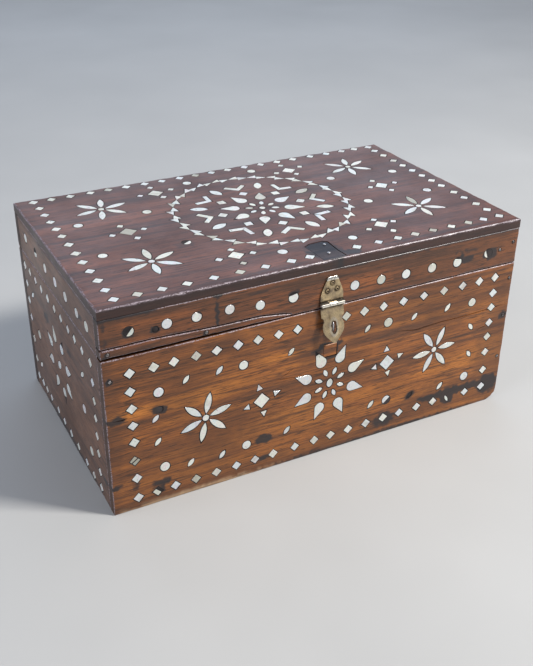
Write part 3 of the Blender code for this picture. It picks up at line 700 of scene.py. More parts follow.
# Which way the grain runs; the pale, middle and dark colours; the roughness where it is cleanest
WOODS = {
    "front_wood": (X_GRAIN, (0.48, 0.165, 0.024), (0.275, 0.088, 0.017), (0.080, 0.030, 0.012), 0.42),
    "lid_wood": (X_GRAIN, (0.27, 0.085, 0.022), (0.150, 0.050, 0.017), (0.052, 0.023, 0.012), 0.42),
    "top_wood": (X_GRAIN, (0.190, 0.066, 0.038), (0.125, 0.044, 0.028), (0.052, 0.022, 0.018), 0.38),
    "side_wood": (Y_GRAIN, (0.180, 0.085, 0.048), (0.125, 0.060, 0.036), (0.060, 0.031, 0.022), 0.40),
    "back_wood": (X_GRAIN, (0.170, 0.074, 0.040), (0.120, 0.052, 0.030), (0.055, 0.026, 0.018), 0.5),
    "inside_wood": (X_GRAIN, (0.34, 0.19, 0.095), (0.25, 0.13, 0.065), (0.12, 0.06, 0.035), 0.62),
    "dark_wood": (X_GRAIN, (0.075, 0.050, 0.050), (0.014, 0.014, 0.022), (0.006, 0.006, 0.012), 0.50),
}

# The material's name; bright, dull and pit colours; roughness where polished; swells in a metre
METALS = {
    "brass": ("old_brass", (0.62, 0.48, 0.28), (0.30, 0.235, 0.165), (0.022, 0.016, 0.012), 0.34, 170),
    "hinge_brass": ("hinge_brass", (0.52, 0.38, 0.16), (0.20, 0.14, 0.065), (0.035, 0.026, 0.018), 0.34, 160),
    "steel": ("bright_steel", (0.80, 0.80, 0.82), (0.42, 0.41, 0.42), (0.08, 0.07, 0.065), 0.20, 240),
    "iron": ("dark_iron", (0.36, 0.34, 0.34), (0.085, 0.072, 0.070), (0.024, 0.018, 0.016), 0.30, 420),
}

FINISHES = {name: wood(name, *looks) for name, looks in WOODS.items()}
FINISHES |= {"mastic": mastic(), "pearl": pearl()}
FINISHES |= {name: metal(*looks) for name, looks in METALS.items()}


# ---------------------------------------------------------------- boards and pearls


def made(shape, name):
    """The mesh of a finished shape."""
    mesh = bpy.data.meshes.new(name)
    shape.to_mesh(mesh)
    shape.free()
    return mesh


def placed(name, data):
    """A new object in the scene."""
    item = bpy.data.objects.new(name, data)
    bpy.context.scene.collection.objects.link(item)
    return item


def new_piece(name, mesh, finish, body, nodes=()):
    """One shown piece with its finish, riding on its body in place of the CAD nodes it stands for."""
    piece = placed(name, mesh)
    mesh.materials.append(FINISHES[finish])
    mesh.shade_smooth()
    mesh.set_sharp_from_angle(angle=SHARP)
    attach(piece, body)
    if nodes:
        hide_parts(*nodes)


def stepped(outline, step):
    """The outline with its long sides divided into steps of about the given length."""
    points = []
    for number, corner in enumerate(outline):
        start, end = Vector(corner), Vector(outline[(number + 1) % len(outline)])
        count = max(1, round((end - start).length / step))
        points += [tuple(start.lerp(end, share / count)) for share in range(count)]
    return points


def rim_width(face, point):
    """How far an arris is rubbed round at this place, in millimetres."""
    along = Vector((point[0] / 16, point[1] / 16, face.out.x * 5 + face.out.y * 9))
    return 0.95 + 0.75 * noise.noise(along) + 0.35 * noise.noise(along * 4.1)


def tiled(outline, seats, grid, rng):
    """Triangles that fill an outline with an edge along every seat.

    Gives the points, how each outline point is numbered among them, the triangles, and for each
    triangle the number of the seat it lies in, or OPEN_FACE.
    """
    points = [Vector(point) for point in outline]
    faces = [list(range(len(points)))]
    for seat in seats:
        faces.append(list(range(len(points), len(points) + len(seat))))
        points += [Vector(point) for point in seat]
    edges = [point for seat in [outline, *seats] for point in stepped(seat, SEAT_STEP)]
    near = KDTree(len(edges))
    for number, (u, v) in enumerate(edges):
        near.insert((u, v, 0), number)
    near.balance()
    low_u, high_u = min(u for u, _ in outline), max(u for u, _ in outline)
    low_v, high_v = min(v for _, v in outline), max(v for _, v in outline)
    for column in range(int((high_u - low_u) / grid)):
        for line in range(int((high_v - low_v) / grid)):
            u = low_u + (column + 0.5 + (line % 2) * 0.5 + rng.uniform(-GRID_JITTER, GRID_JITTER)) * grid
            v = low_v + (line + 0.5 + rng.uniform(-GRID_JITTER, GRID_JITTER)) * grid
            if near.find((u, v, 0))[2] > grid * GRID_CLEAR:
                points.append(Vector((u, v)))
    spots, _, triangles, sources, _, owners = delaunay_2d_cdt(points, [], faces, 1, POINT_WELD)
    numbered = {source: number for number, group in enumerate(sources) for source in group}
    border = [numbered[number] for number in range(len(outline))]
    kept = [(list(triangle), max(owner) - 1) for triangle, owner in zip(triangles, owners) if owner]
    return spots, border, [triangle for triangle, _ in kept], [seat for _, seat in kept]


def board_mesh(name, face, outline, thickness, seats, depths, rng, rim=1.0, grid=GRID):
    """A board with a waved face, seats sunk into it and arrises rubbed round."""
    corners = stepped(outline, grid * BORDER_STEP)
    moves = outward(corners)
    widths = [max(rim * rim_width(face, point), LEAST_RIM) for point in corners]
    inner = [(u - move.x * width, v - move.y * width) for (u, v), move, width in zip(corners, moves, widths)]
    spots, border, triangles, seat_of = tiled(inner, seats, grid, rng)
    shape = bmesh.new()
    wear_and_glint = shape.verts.layers.float.new("wear_and_glint")
    dark_edges_and_shade = shape.verts.layers.float.new("dark_edges_and_shade")
    known = {}

    def vertex(u, v, w):
        return shape.verts.new(to_world(face, u, v, w))

    def depth_of(seat):
        return 0 if seat == OPEN_FACE else depths[seat]

    def vertex_at(number, seat):
        """The point of this spot at a seat's depth, shared by every seat of the same depth."""
        depth = depth_of(seat)
        if (number, depth) not in known:
            u, v = spots[number]
            known[number, depth] = vertex(u, v, waviness(face, u, v) - depth)
        return known[number, depth]

    seat_across = {}
    for triangle, seat in zip(triangles, seat_of):
        for first, second in zip(triangle, triangle[1:] + triangle[:1]):
            seat_across[second, first] = seat
    for triangle, seat in zip(triangles, seat_of):
        shape.faces.new([vertex_at(number, seat) for number in triangle])
        for first, second in zip(triangle, triangle[1:] + triangle[:1]):
            other = seat_across.get((first, second), seat)
            if depth_of(other) < depth_of(seat):
                wall = ((first, seat), (second, seat), (second, other), (first, other))
                shape.faces.new([vertex_at(*corner) for corner in wall])
    ring = [vertex_at(number, OPEN_FACE) for number in border]
    for turn in (30, 60, 90):
        inset, drop = 1 - math.sin(math.radians(turn)), 1 - math.cos(math.radians(turn))
        following = []
        for (u, v), move, width in zip(corners, moves, widths):
            place = (u - move.x * width * inset, v - move.y * width * inset, -width * drop)
            following.append(vertex(*place))
            # The rounded arris is rubbed, and the wood paints a glint on it.
            following[-1][wear_and_glint] = 1.0 if turn < 90 else 0.1
            # Darker toward the side wall: the edge's own colour and painted shade in the seams.
            following[-1][dark_edges_and_shade] = turn / 90
        bridge(shape, ring, following)
        ring = following
    last = thickness - ARRIS
    for depth in (min(max(widths) + ARRIS, thickness / 2), last, thickness):
        inset = ARRIS if depth == thickness else 0.0
        following = [
            vertex(u - move.x * inset, v - move.y * inset, -depth) for (u, v), move in zip(corners, moves)
        ]
        # The side walls are dark, with painted shade in the seams between boards; the underside is not.
        for corner in following:
            corner[dark_edges_and_shade] = 0.0 if depth == thickness else 1.0
        bridge(shape, ring, following)
        ring = following
    shape.faces.new(list(reversed(ring)))
    bmesh.ops.recalc_face_normals(shape, faces=shape.faces)
    return made(shape, name)


def bridge(shape, ring, following):
    """Faces between two rings of vertices; following lies outside or below ring."""
    for number in range(len(ring)):
        after = (number + 1) % len(ring)
        shape.faces.new((ring[after], ring[number], following[number], following[after]))


def written(mesh, attribute, rule):
    """Writes an attribute from a rule on each point's place."""
    layer = mesh.attributes.get(attribute) or mesh.attributes.new(attribute, "FLOAT", "POINT")
    layer.data.foreach_set("value", [rule(vertex.co) for vertex in mesh.vertices])


def marked(mesh, face, attribute, spots):
    """Writes an attribute that fades out from each spot: (u, v, half width, half height, strength)."""

    def strength_at(point):
        u, v, _ = in_face(face, point)
        value = 0.0
        for spot_u, spot_v, half_u, half_v, strength in spots:
            ragged = 1 + 0.45 * noise.noise(Vector((u / 7, v / 4, spot_u)))
            away = math.hypot((u - spot_u) / half_u, (v - spot_v) / half_v) * ragged
            value = max(value, strength * min(max((1.25 - away) / 0.5, 0.0), 1.0))
        return value

    written(mesh, attribute, strength_at)


def prisms(name, face, pieces, bevel, tilt, rng):
    """Flat pieces, each lying a little out of true: (outline, tone, height of its face) triples."""
    shape = bmesh.new()
    tone_layer = shape.verts.layers.float.new("tone")
    for outline, tone, top in pieces:
        middle = middle_of(outline)
        base = waviness(face, *middle) + rng.uniform(-0.02, 0.02)
        lean = Vector((rng.uniform(-tilt, tilt), rng.uniform(-tilt, tilt)))
        levels = [(PRISM_BOTTOM, 0.0), (top - bevel, 0.0)] + ([(top, -bevel)] if bevel else [])
        ring = None
        for height, spread in levels:
            following = []
            for u, v in grown(outline, spread):
                slope = lean.x * (u - middle[0]) + lean.y * (v - middle[1])
                following.append(shape.verts.new(to_world(face, u, v, base + height + slope)))
                following[-1][tone_layer] = tone
            if ring:
                bridge(shape, following, ring)
            else:
                shape.faces.new(list(reversed(following)))
            ring = following
        shape.faces.new(ring)
    return made(shape, name)


# ---------------------------------------------------------------- the box put together


def rectangle(face, node):
    low_u, low_v, high_u, high_v = node_rectangle(face, node)
    return [(low_u, low_v), (high_u, low_v), (high_u, high_v), (low_u, high_v)]


def crack(points, width=0.9):
    """A split along a line of points, widest in the middle and closed at both ends."""
    lower, upper = [points[0]], []
    for number in range(1, len(points) - 1):
        ahead = (Vector(points[number + 1]) - Vector(points[number - 1])).normalized()
        half = Vector((-ahead.y, ahead.x)) * width / 2
        lower.append(tuple(Vector(points[number]) - half))
        upper.append(tuple(Vector(points[number]) + half))
    return lower + [points[-1]] + upper[::-1]


def nail_seats(face, nodes):
    """Round holes for nail heads, a little wider than the heads."""
    radius, depth = NAIL_SEAT
    return [(turned_to(disc(radius), node_middle(face, node), 0), depth) for node in nodes]


def board(
    node, face_name, finish, body, inlays=None, holes=(), outline=None, stains=(), shades=(), raw=(), rim=1.0
):
    """One board of the box, its inlay, and the other holes sunk into it as (outline, depth) pairs."""
    face = FACES[face_name]
    rng = random.Random(node)
    inlays = inlays or {}
    pieces = [piece for group in inlays.values() for piece in group]
    seats = [piece.seat for piece in pieces] + [seat for seat, _ in holes]
    depths = [SEAT_DEPTH] * len(pieces) + [depth for _, depth in holes]
    outline = outline or rectangle(face, node)
    mesh = board_mesh(f"{node}_wood", face, outline, node_depth(face, node), seats, depths, rng, rim)
    marked(mesh, face, "stain", stains)
    marked(mesh, face, "shade", shades)
    marked(mesh, face, "raw", raw)
    new_piece(f"{node}_wood", mesh, finish, body, [node])
    if pieces:
        beds = []
        for piece in pieces:
            level = -MASTIC_SUNK if piece.pearls else EMPTY_BED
            beds.append((grown(piece.seat, -MASTIC_GAP), PLAIN_TONE, level))
        mesh = prisms(f"{node}_mastic", face, beds, 0, MASTIC_TILT, rng)
        new_piece(f"{node}_mastic", mesh, "mastic", body)
    for name, group in inlays.items():
        pearls = [(pearl, piece.tone, PEARL_PROUD) for piece in group for pearl in piece.pearls]
        mesh = prisms(name, face, pearls, PEARL_BEVEL, PEARL_TILT, rng)
        new_piece(name, mesh, "pearl", body, [name.removesuffix("_pearl")] if name.endswith("_pearl") else [])


def worn_front(outline):
    """The front board's outline: lower right corner knocked off, left half of the top edge worn down."""
    (left, _), (right, _), (_, top), _ = outline
    knocked = [(right - 11, 0), (right - 8, 1.5), (right - 5.5, 2.5), (right - 3.5, 5), (right - 1, 7)]
    knocked.append((right, 11))
    rubbed_glint = [(right, top - 0.3), (60, top - 0.4), (-30, top - 0.6), (-70, top - 0.9), (-120, top - 1.3)]
    rubbed_glint += [(-185, top - 1.4), (left, top - 1.0)]
    return [(left, 0), *knocked, *rubbed_glint]


# The scarf between the lid's front rail and the strip let into its lower left
SCARF = [(-210, 166.0), (-166, 166.5), (-107.5, 164.0), (-68, 163.6), (-49, 161.2)]
SCARF_END = -38
SCARF_LIP = 1.2


def front_boards():
    face = FACES["front"]
    rng = random.Random("front")
    cracks = [
        crack([(209, 112), (183, 111), (156, 110), (126, 110.4), (98, 109), (70, 114)]),
        crack([(196, 94), (178, 91.5), (172, 90)], 0.8),
        crack([(112, 87), (100, 85.5), (88, 85)], 0.8),
        crack([(-32, 104), (-40, 99), (-52, 95), (-38, 93.5), (-28, 92)], 0.7),
        crack([(-205, 97), (-196, 96.5), (-190, 97.5)], 1.3),
    ]
    holes = [(line, CRACK_DEPTH) for line in cracks]
    nails = [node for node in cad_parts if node.startswith("nail_front")]
    plug = rectangle(face, "keyhole_plug")
    plug_seat = [(u, v + 1.3 if v > plug[0][1] else v - 0.8) for u, v in grown(plug, 0.3)]
    staple_u, staple_v = node_middle(face, "hasp_staple")
    legs = [(turned_to(disc(1.3), (staple_u, staple_v + side * 4), 0), 3.0) for side in (-1, 1)]
    stains = [
        (-64, 35, 9, 5, 0.85), (68, 16, 14, 9, 0.6), (150, 25, 42, 5, 0.75), (196, 22, 14, 12, 0.7),
        (145, 17, 9, 5, 0.8), (-163, 97, 8, 4, 0.8), (-202, 97, 9, 4, 0.7), (-205, 136, 3.5, 2.5, 0.8),
        (4, 118, 14, 3, 0.9), (3, 104, 9, 2.5, 0.85), (-12, 112, 6, 4, 0.6), (98, 36, 6, 5, 0.6),
        (-62, 14, 8, 4, 0.6), (0, 35, 200, 6, 0.25), (-188, 24, 4, 6, 0.5), (-206, 28, 6, 3, 0.6),
        (204, 100, 6, 5, 0.6), (66, 2, 140, 3, 0.55), (48, 17, 8, 5, 0.5), (-165, 22, 9, 4, 0.6),
        (-168, 13, 7, 5, 0.6),
    ]
    shades = [
        (-150, 30, 70, 34, 0.55), (204, 60, 30, 90, 0.7), (-208, 80, 12, 90, 0.7), (0, 4, 215, 14, 0.6),
        (-30, 45, 60, 22, 0.4), (150, 25, 60, 16, 0.6), (100, 128, 110, 22, 0.6), (60, 150, 150, 8, 0.5),
        (0, 150, 215, 7, 0.35), (-14, 125, 24, 24, 0.5),
    ]
    inlays = front_case_inlay(rng)
    holes += nail_seats(face, nails) + [(plug_seat, PLUG_DEPTH)] + legs
    outline = worn_front(rectangle(face, "case_front"))
    raw = [(-130, 0.5, 70, 2.6, 0.9)]
    board("case_front", "front", "front_wood", "case", inlays, holes, outline, stains, shades, raw)
    mesh = prisms("keyhole_plug_wood", face, [(plug, PLAIN_TONE, -0.25)], 0.3, 0.01, rng)
    new_piece("keyhole_plug_wood", mesh, "front_wood", "case", ["keyhole_plug"])

    low_u, low_v, high_u, high_v = node_rectangle(face, "lid_front")
    hair = 0.3
    rail = [(u, v + hair) for u, v in SCARF]
    rail += [(SCARF_END + hair, low_v + SCARF_LIP + hair), (SCARF_END + hair, low_v), (high_u, low_v)]
    rail += [(high_u, high_v), (low_u, high_v)]
    lid_stains = [
        (-108, 176, 1.8, 13, 0.75), (-107, 193, 5, 3, 0.8), (-163, 174, 5, 3, 0.7), (-186, 177, 6, 5, 0.6),
        (148, 172, 10, 4, 0.75), (178, 172, 9, 6, 0.75), (-36, 178, 7, 3, 0.6), (-190, 192, 34, 2, 0.6),
        (100, 192, 120, 2, 0.5), (-206, 172, 3, 5, 0.5), (-206, 186, 3, 4, 0.5), (150, 181, 22, 2, 0.5),
        (-70, 187, 12, 2, 0.5),
    ]
    lid_shades = [
        (-205, 175, 14, 18, 0.6), (0, 191, 215, 5, 0.5), (200, 175, 20, 18, 0.4), (60, 160, 70, 6, 0.4),
        (130, 178, 70, 14, 0.75),
    ]
    nails = ["nail_lid_right", "nail_lid_stray", "hasp_nail_top", "hasp_nail_left", "hasp_nail_right"]
    board(
        "lid_front", "front", "lid_wood", "lid", front_lid_inlay(rng), nail_seats(face, nails), rail,
        lid_stains, lid_shades,
    )
    shrunk = [(u, v - 0.8) for u, v in reversed(SCARF)]
    strip = [(low_u, low_v + 0.5), (-90, low_v + 0.4), (SCARF_END, low_v)]
    strip += [(SCARF_END, low_v + SCARF_LIP), *shrunk]
    nails = ["nail_splice_left", "nail_splice_right"]
    board(
        "lid_front_splice", "front", "lid_wood", "lid", None, nail_seats(face, nails), strip,
        [(-120, 160, 2.5, 2.5, 0.6), (-206, 160, 3, 4, 0.5)], [(-205, 160, 16, 10, 0.5)],
    )


def top_board():
    face = FACES["top"]
    rng = random.Random("top")
    patch = rectangle(face, "lid_patch")
    low_v = patch[0][1] + 1.2
    left, right, top_v = patch[0][0], patch[1][0], patch[2][1]
    patch = [(left + 1.5, low_v), (right, low_v), (right - 1.2, low_v + 14), (right, top_v - 4)]
    patch += [(right - 4, top_v), (left + 6, top_v - 1.5), (left, top_v - 5), (left + 1.2, low_v + 18)]
    stains = [
        (5, -108, 17, 19, 0.62), (-6, -112, 10, 8, 0.6), (22, -120, 14, 6, 0.7), (-100, -40, 12, 8, 0.4),
        (-60, -121, 80, 5, 0.35), (120, -120, 70, 5, 0.45), (199, 0, 8, 110, 0.35), (-203, 0, 5, 110, 0.3),
        (60, 30, 30, 10, 0.25), (-30, 60, 40, 12, 0.25),
    ]
    shades = [(150, 0, 60, 120, 0.5), (0, 110, 215, 26, 0.5), (0, -124, 215, 3, 0.8)]
    board(
        "lid_top", "top", "top_wood", "lid", top_inlay(rng), [(grown(patch, 0.4), 1.2)], None, stains, shades,
        rim=1.8,
    )
    mesh = prisms("lid_patch_wood", face, [(patch, PLAIN_TONE, -0.35)], 0.35, 0.008, rng)
    new_piece("lid_patch_wood", mesh, "dark_wood", "lid", ["lid_patch"])


def side_boards():
    for side, sign in (("left", 1), ("right", -1)):
        rng = random.Random(side)
        stains = [
            (-44 * sign, 115, 9, 6, 0.6), (28 * sign, 113, 8, 4, 0.5), (-60 * sign, 40, 40, 12, 0.35),
            (108 * sign, 25, 5, 3, 0.8), (0, 3, 110, 4, 0.5), (114 * sign, 60, 4, 80, 0.3),
        ]
        board(f"case_{side}", side, "side_wood", "case", side_case_inlay(rng, side), (), None, stains)
        lid_stains = [(78 * sign, 173, 8, 3, 0.6), (0, 190, 110, 3, 0.4)]
        board(f"lid_{side}", side, "side_wood", "lid", side_lid_inlay(rng, side), (), None, lid_stains)


def metalwork():
    """The CAD model's own metal pieces, with worn finishes."""
    finishes = dict.fromkeys(("hasp_pin", "hasp_staple", "patch_nail_back", "patch_nail_front"), "steel")
    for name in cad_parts:
        if name.startswith("hinge"):
            finishes[name] = "hinge_brass"
        if name.startswith("nail"):
            finishes[name] = "iron"
    for name, finish in finishes.items():
        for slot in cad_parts[name].material_slots:
            slot.material = FINISHES[finish]


# ---------------------------------------------------------------- hasp

PLATE = 1.0
STRAP_TILT = math.radians(13.5)
SLOT_HALF = (2.3, 5.75)
SLOT_DOWN = 21.75
TIP_DOWN = 34.0
SHIELD_RADIUS = 11.0
TIP_RADIUS = 3.0
KNUCKLE_GAP = 0.15
KNUCKLE_SIDES = 24
PRESSED_RING = 2.3
# How far from a nail's middle the leaf is darker, in a ring round the head
DARK_RING = 2.1
DIMPLE_RADIUS = 0.7

# A nail's (radius, height) steps: a dimple in the middle, the rolled edge, and the shank below
NAIL_PROFILE = [
    (0, 0.30), (0.6, 0.35), (0.9, 0.85), (1.25, 0.92), (1.6, 0.55), (1.75, 0.0), (0.8, -0.6),
    (0.7, -6), (0, -7),
]


def hasp_faces():
    """The leaf's face, and the strap's own face, tilted out from the front about the hasp's pin."""
    front = FACES["front"]
    low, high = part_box("hasp_pin")
    pin = (low + high) / 2
    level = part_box("hasp_leaf")[1].y - PLATE * MM
    flat = Face(Vector((0, level, 0)), front.u, front.v, front.out)
    swing = Matrix.Rotation(-STRAP_TILT, 3, "X")
    tilted = Face(pin + swing @ (flat.origin - pin), flat.u, swing @ flat.v, swing @ flat.out)
    return flat, tilted, pin


def mirror_outline(right, middle):
    """A whole outline from its right half, which runs upward as (distance from the middle line, v)."""
    return [(middle + u, v) for u, v in right] + [(middle - u, v) for u, v in reversed(right)]


def pressed(mesh, face, rule):
    """Moves a plate's points square to it, by rule(u, v) millimetres."""
    for vertex in mesh.vertices:
        u, v, _ = in_face(face, vertex.co)
        vertex.co += face.out * rule(u, v) * MM


def smooth_step(value, low, high):
    share = min(max((value - low) / (high - low), 0.0), 1.0)
    return share * share * (3 - 2 * share)


def spun(name, face, centre, profile, sides=20):
    """A round piece standing on a face: (radius, height) steps in millimetres, from the middle outward."""
    shape = bmesh.new()
    rings = []
    for radius, height in profile:
        if radius == 0:
            rings.append([shape.verts.new(to_world(face, *centre, height))])
            continue
        circle = turned_to(arc((0, 0), radius, 0, 360 - 360 / sides, sides - 1), centre, 0)
        rings.append([shape.verts.new(to_world(face, u, v, height)) for u, v in circle])
    for inner, outer in zip(rings, rings[1:]):
        for number in range(sides):
            after = (number + 1) % sides
            if len(inner) == 1:
                shape.faces.new((inner[0], outer[number], outer[after]))
            elif len(outer) == 1:
                shape.faces.new((inner[number], outer[0], inner[after]))
            else:
                shape.faces.new((inner[number], outer[number], outer[after], inner[after]))
    return made(shape, name)


def knuckle(shape, pin, low_x, high_x, radius):
    """A rolled knuckle on the hasp's pin, its ends rubbed round."""
    soft = 0.25 * MM
    steps = [(low_x, radius * 0.5), (low_x, radius - soft), (low_x + soft, radius), (high_x - soft, radius)]
    steps += [(high_x, radius - soft), (high_x, radius * 0.5)]
    rings = []
    for x, reach in steps:
        angles = [math.tau * side / KNUCKLE_SIDES for side in range(KNUCKLE_SIDES)]
        ring = [(pin.y + math.cos(angle) * reach, pin.z + math.sin(angle) * reach) for angle in angles]
        rings.append([shape.verts.new((x, y, z)) for y, z in ring])
    for ring, following in zip(rings, rings[1:]):
        bridge(shape, following, ring)
    shape.faces.new(rings[0])
    shape.faces.new(list(reversed(rings[-1])))


def from_pin(point, pin):
    """How far a point stands from the axis of the hasp's pin."""
    return (Vector((0, point.y, point.z)) - Vector((0, pin.y, pin.z))).length


def add_knuckles(mesh, pin, thirds, radius):
    """Adds knuckles to a plate; thirds are the thirds of the hasp's width, counted from the left."""
    low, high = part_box("hasp_strap")
    third = (high.x - low.x) / 3
    shape = bmesh.new()
    shape.from_mesh(mesh)
    for number in thirds:
        start = low.x + third * number
        knuckle(shape, pin, start + KNUCKLE_GAP * MM, start + third - KNUCKLE_GAP * MM, radius)
    bmesh.ops.recalc_face_normals(shape, faces=shape.faces)
    shape.to_mesh(mesh)
    shape.free()


def hasp():
    """The hasp's leaf with its nails on the lid, and the slotted strap that swings on its pin."""
    flat, tilted, pin = hasp_faces()
    rng = random.Random("hasp")
    low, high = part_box("hasp_strap")
    middle = (low.x + high.x) / 2 / MM
    half = (high.x - low.x) / 2 / MM
    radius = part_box("hasp_leaf")[1].y - pin.y
    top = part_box("hasp_leaf")[1].z / MM
    axis = pin.z / MM
    nails = [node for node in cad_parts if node.startswith("hasp_nail")]
    places = [node_middle(flat, node) for node in nails]

    right = [(half - 0.2, axis + 1.0), (half - 0.2, axis + 8.5), (half - 1.0, axis + 11.5)]
    right += [(half - 2.4, axis + 15.5), (4.5, top)]
    outline = mirror_outline(right, middle)
    mesh = board_mesh("hasp_leaf_plate", flat, outline, PLATE, [], [], rng, 0.3, 1.2)

    def leaf_rule(u, v):
        dish = 0.25 * math.cos((u - middle) / half * 1.5)
        away = [math.hypot(u - x, v - z) - PRESSED_RING for x, z in places]
        rings = sum(0.35 * math.exp(-(distance / 0.9) ** 2) for distance in away)
        tip = 0.8 * smooth_step(v, top - 4.0, top - 3.2) * (1 - smooth_step(v, top - 2.6, top))
        return dish * (1 - smooth_step(v, top - 5, top - 3)) - rings + tip

    pressed(mesh, flat, leaf_rule)
    add_knuckles(mesh, pin, (0, 2), radius)

    # Rubbed and painted bright where the glints fall: the leaf's bent tip and its knuckles.
    def leaf_wear_and_glint(point):
        _, v, _ = in_face(flat, point)
        barrel = from_pin(point, pin) < radius * 1.1
        return 0.95 if v > top - 3.3 or barrel else 0.0

    # Darker rings round the nail heads, and painted shade under the knuckles and in the crease where the
    # plate meets them.
    def leaf_dark_rings_and_shade(point):
        u, v, _ = in_face(flat, point)
        close = min(abs(math.hypot(u - x, v - z) - DARK_RING) for x, z in places)
        under = 0.9 if v < axis - 0.9 or (v < axis + 3.4 and v > axis + 1.6) else 0.0
        return max(0.9 * (1 - smooth_step(close, 0.3, 1.3)), under)

    written(mesh, "wear_and_glint", leaf_wear_and_glint)
    written(mesh, "dirt_and_shade", leaf_dark_rings_and_shade)
    new_piece("hasp_leaf_plate", mesh, "brass", "lid", ["hasp_leaf"])
    for node, place in zip(nails, places):
        mesh = spun(f"{node}_head", flat, place, NAIL_PROFILE)

        # A nail head: a little darker all over, darkest in its dimple.
        def head_darkening(point, place=place):
            return 1.0 if math.dist(in_face(flat, point)[:2], place) < DIMPLE_RADIUS else 0.3

        written(mesh, "dirt_and_shade", head_darkening)
        new_piece(f"{node}_head", mesh, "brass", "lid", [node])

    slot_middle = axis - SLOT_DOWN
    tip_middle = axis - TIP_DOWN
    lean = math.degrees(math.asin((SHIELD_RADIUS - TIP_RADIUS) / (slot_middle - tip_middle)))
    lower = arc((0, tip_middle), TIP_RADIUS, -85, -lean, 3)
    lower += arc((0, slot_middle), SHIELD_RADIUS, -lean, 28, 7)
    neck = [(half - 2.4, axis - 15.4), (half - 2.2, axis - 13.6), (half - 0.9, axis - 12.2)]
    neck += [(half, axis - 11.6), (half, axis - 1.2)]
    outline = mirror_outline(lower + neck, middle)
    mesh = board_mesh("hasp_strap_plate", tilted, outline, PLATE, [], [], rng, 0.3, 1.2)
    add_knuckles(mesh, pin, (1,), radius)
    half_width, half_height = SLOT_HALF
    straight = half_height - half_width
    slot = arc((middle, slot_middle + straight), half_width, 0, 180, 8)
    slot += arc((middle, slot_middle - straight), half_width, 180, 360, 8)
    mesh = carved(mesh, [prism(tilted, slot, -3, 3)])

    def strap_rule(u, v):
        away = math.hypot((u - middle) / 8.5, (v - slot_middle) / 12)
        boss = 0.75 * (1 - smooth_step(away, 0.45, 1.05))
        fold = 0.4 * math.exp(-(((u - middle) / 2.2) ** 2)) * math.exp(-(((v - slot_middle - 11) / 5) ** 2))
        return (boss + fold) * (1 - smooth_step(v, axis - 5, axis - 2))

    pressed(mesh, tilted, strap_rule)

    # Rubbed and painted bright: the knuckle, where the glint falls, and faintly round the slot.
    def strap_wear_and_glint(point):
        if from_pin(point, pin) < radius * 1.05:
            return 0.9
        u, v, _ = in_face(tilted, point)
        ring = abs(math.hypot((u - middle) / 3.6, (v - slot_middle) / 7.4) - 1)
        return 0.35 * (1 - smooth_step(ring, 0.05, 0.4))

    # Painted shade: on the strap's back, inside the slot, just below the knuckle, and on the left side of the
    # pressed fold.
    def strap_painted_shade(point):
        u, v, w = in_face(tilted, point)
        under = 1.0 if w < -0.5 else 0.0
        inside = math.hypot((u - middle) / 2.9, (v - slot_middle) / 6.4) < 1
        neck = 0.95 * (1 - smooth_step(axis - v, 2.6, 4.0)) if v < axis - 1.2 else 0.0
        crease = 0.6 * math.exp(-(((u - middle + 3.5) / 1.6) ** 2) - ((v - slot_middle - 9) / 5) ** 2)
        return max(under * 0.7, 0.95 if inside else 0.0, neck, crease)

    written(mesh, "wear_and_glint", strap_wear_and_glint)
    written(mesh, "dirt_and_shade", strap_painted_shade)
    new_piece("hasp_strap_plate", mesh, "brass", "strap", ["hasp_strap"])


def prism(face, outline, low, high):
    """A closed block over an outline of a face, between two heights."""
    shape = bmesh.new()
    bottom = [shape.verts.new(to_world(face, u, v, low)) for u, v in outline]
    top = [shape.verts.new(to_world(face, u, v, high)) for u, v in outline]
    shape.faces.new(list(reversed(bottom)))
    shape.faces.new(top)
    bridge(shape, top, bottom)
    bmesh.ops.recalc_face_normals(shape, faces=shape.faces)
    return made(shape, "tool")


def carved(mesh, tools):
    """The mesh with closed tool meshes taken out of it."""
    item = placed("carved", mesh)
    helpers = [placed("tool", tool) for tool in tools]
    for helper in helpers:
        modifier = item.modifiers.new("cut", "BOOLEAN")
        modifier.operation = "DIFFERENCE"
        modifier.solver = "EXACT"
        modifier.object = helper
    graph = bpy.context.evaluated_depsgraph_get()
    result = bpy.data.meshes.new_from_object(item.evaluated_get(graph), depsgraph=graph)
    result.name = mesh.name
    for part in [item, *helpers]:
        bpy.data.objects.remove(part)
    return result


# ---------------------------------------------------------------- back and bottom

BEVEL_DROP = 3.64
HINGE_SEAT = 1.3
GROOVE = 2.5
SEAM_GAP = 0.3
SEAT_GAP = 0.3
OVERCUT = 4
PAST_SEAM = 6
PAST_END = 5
INWARD = -20


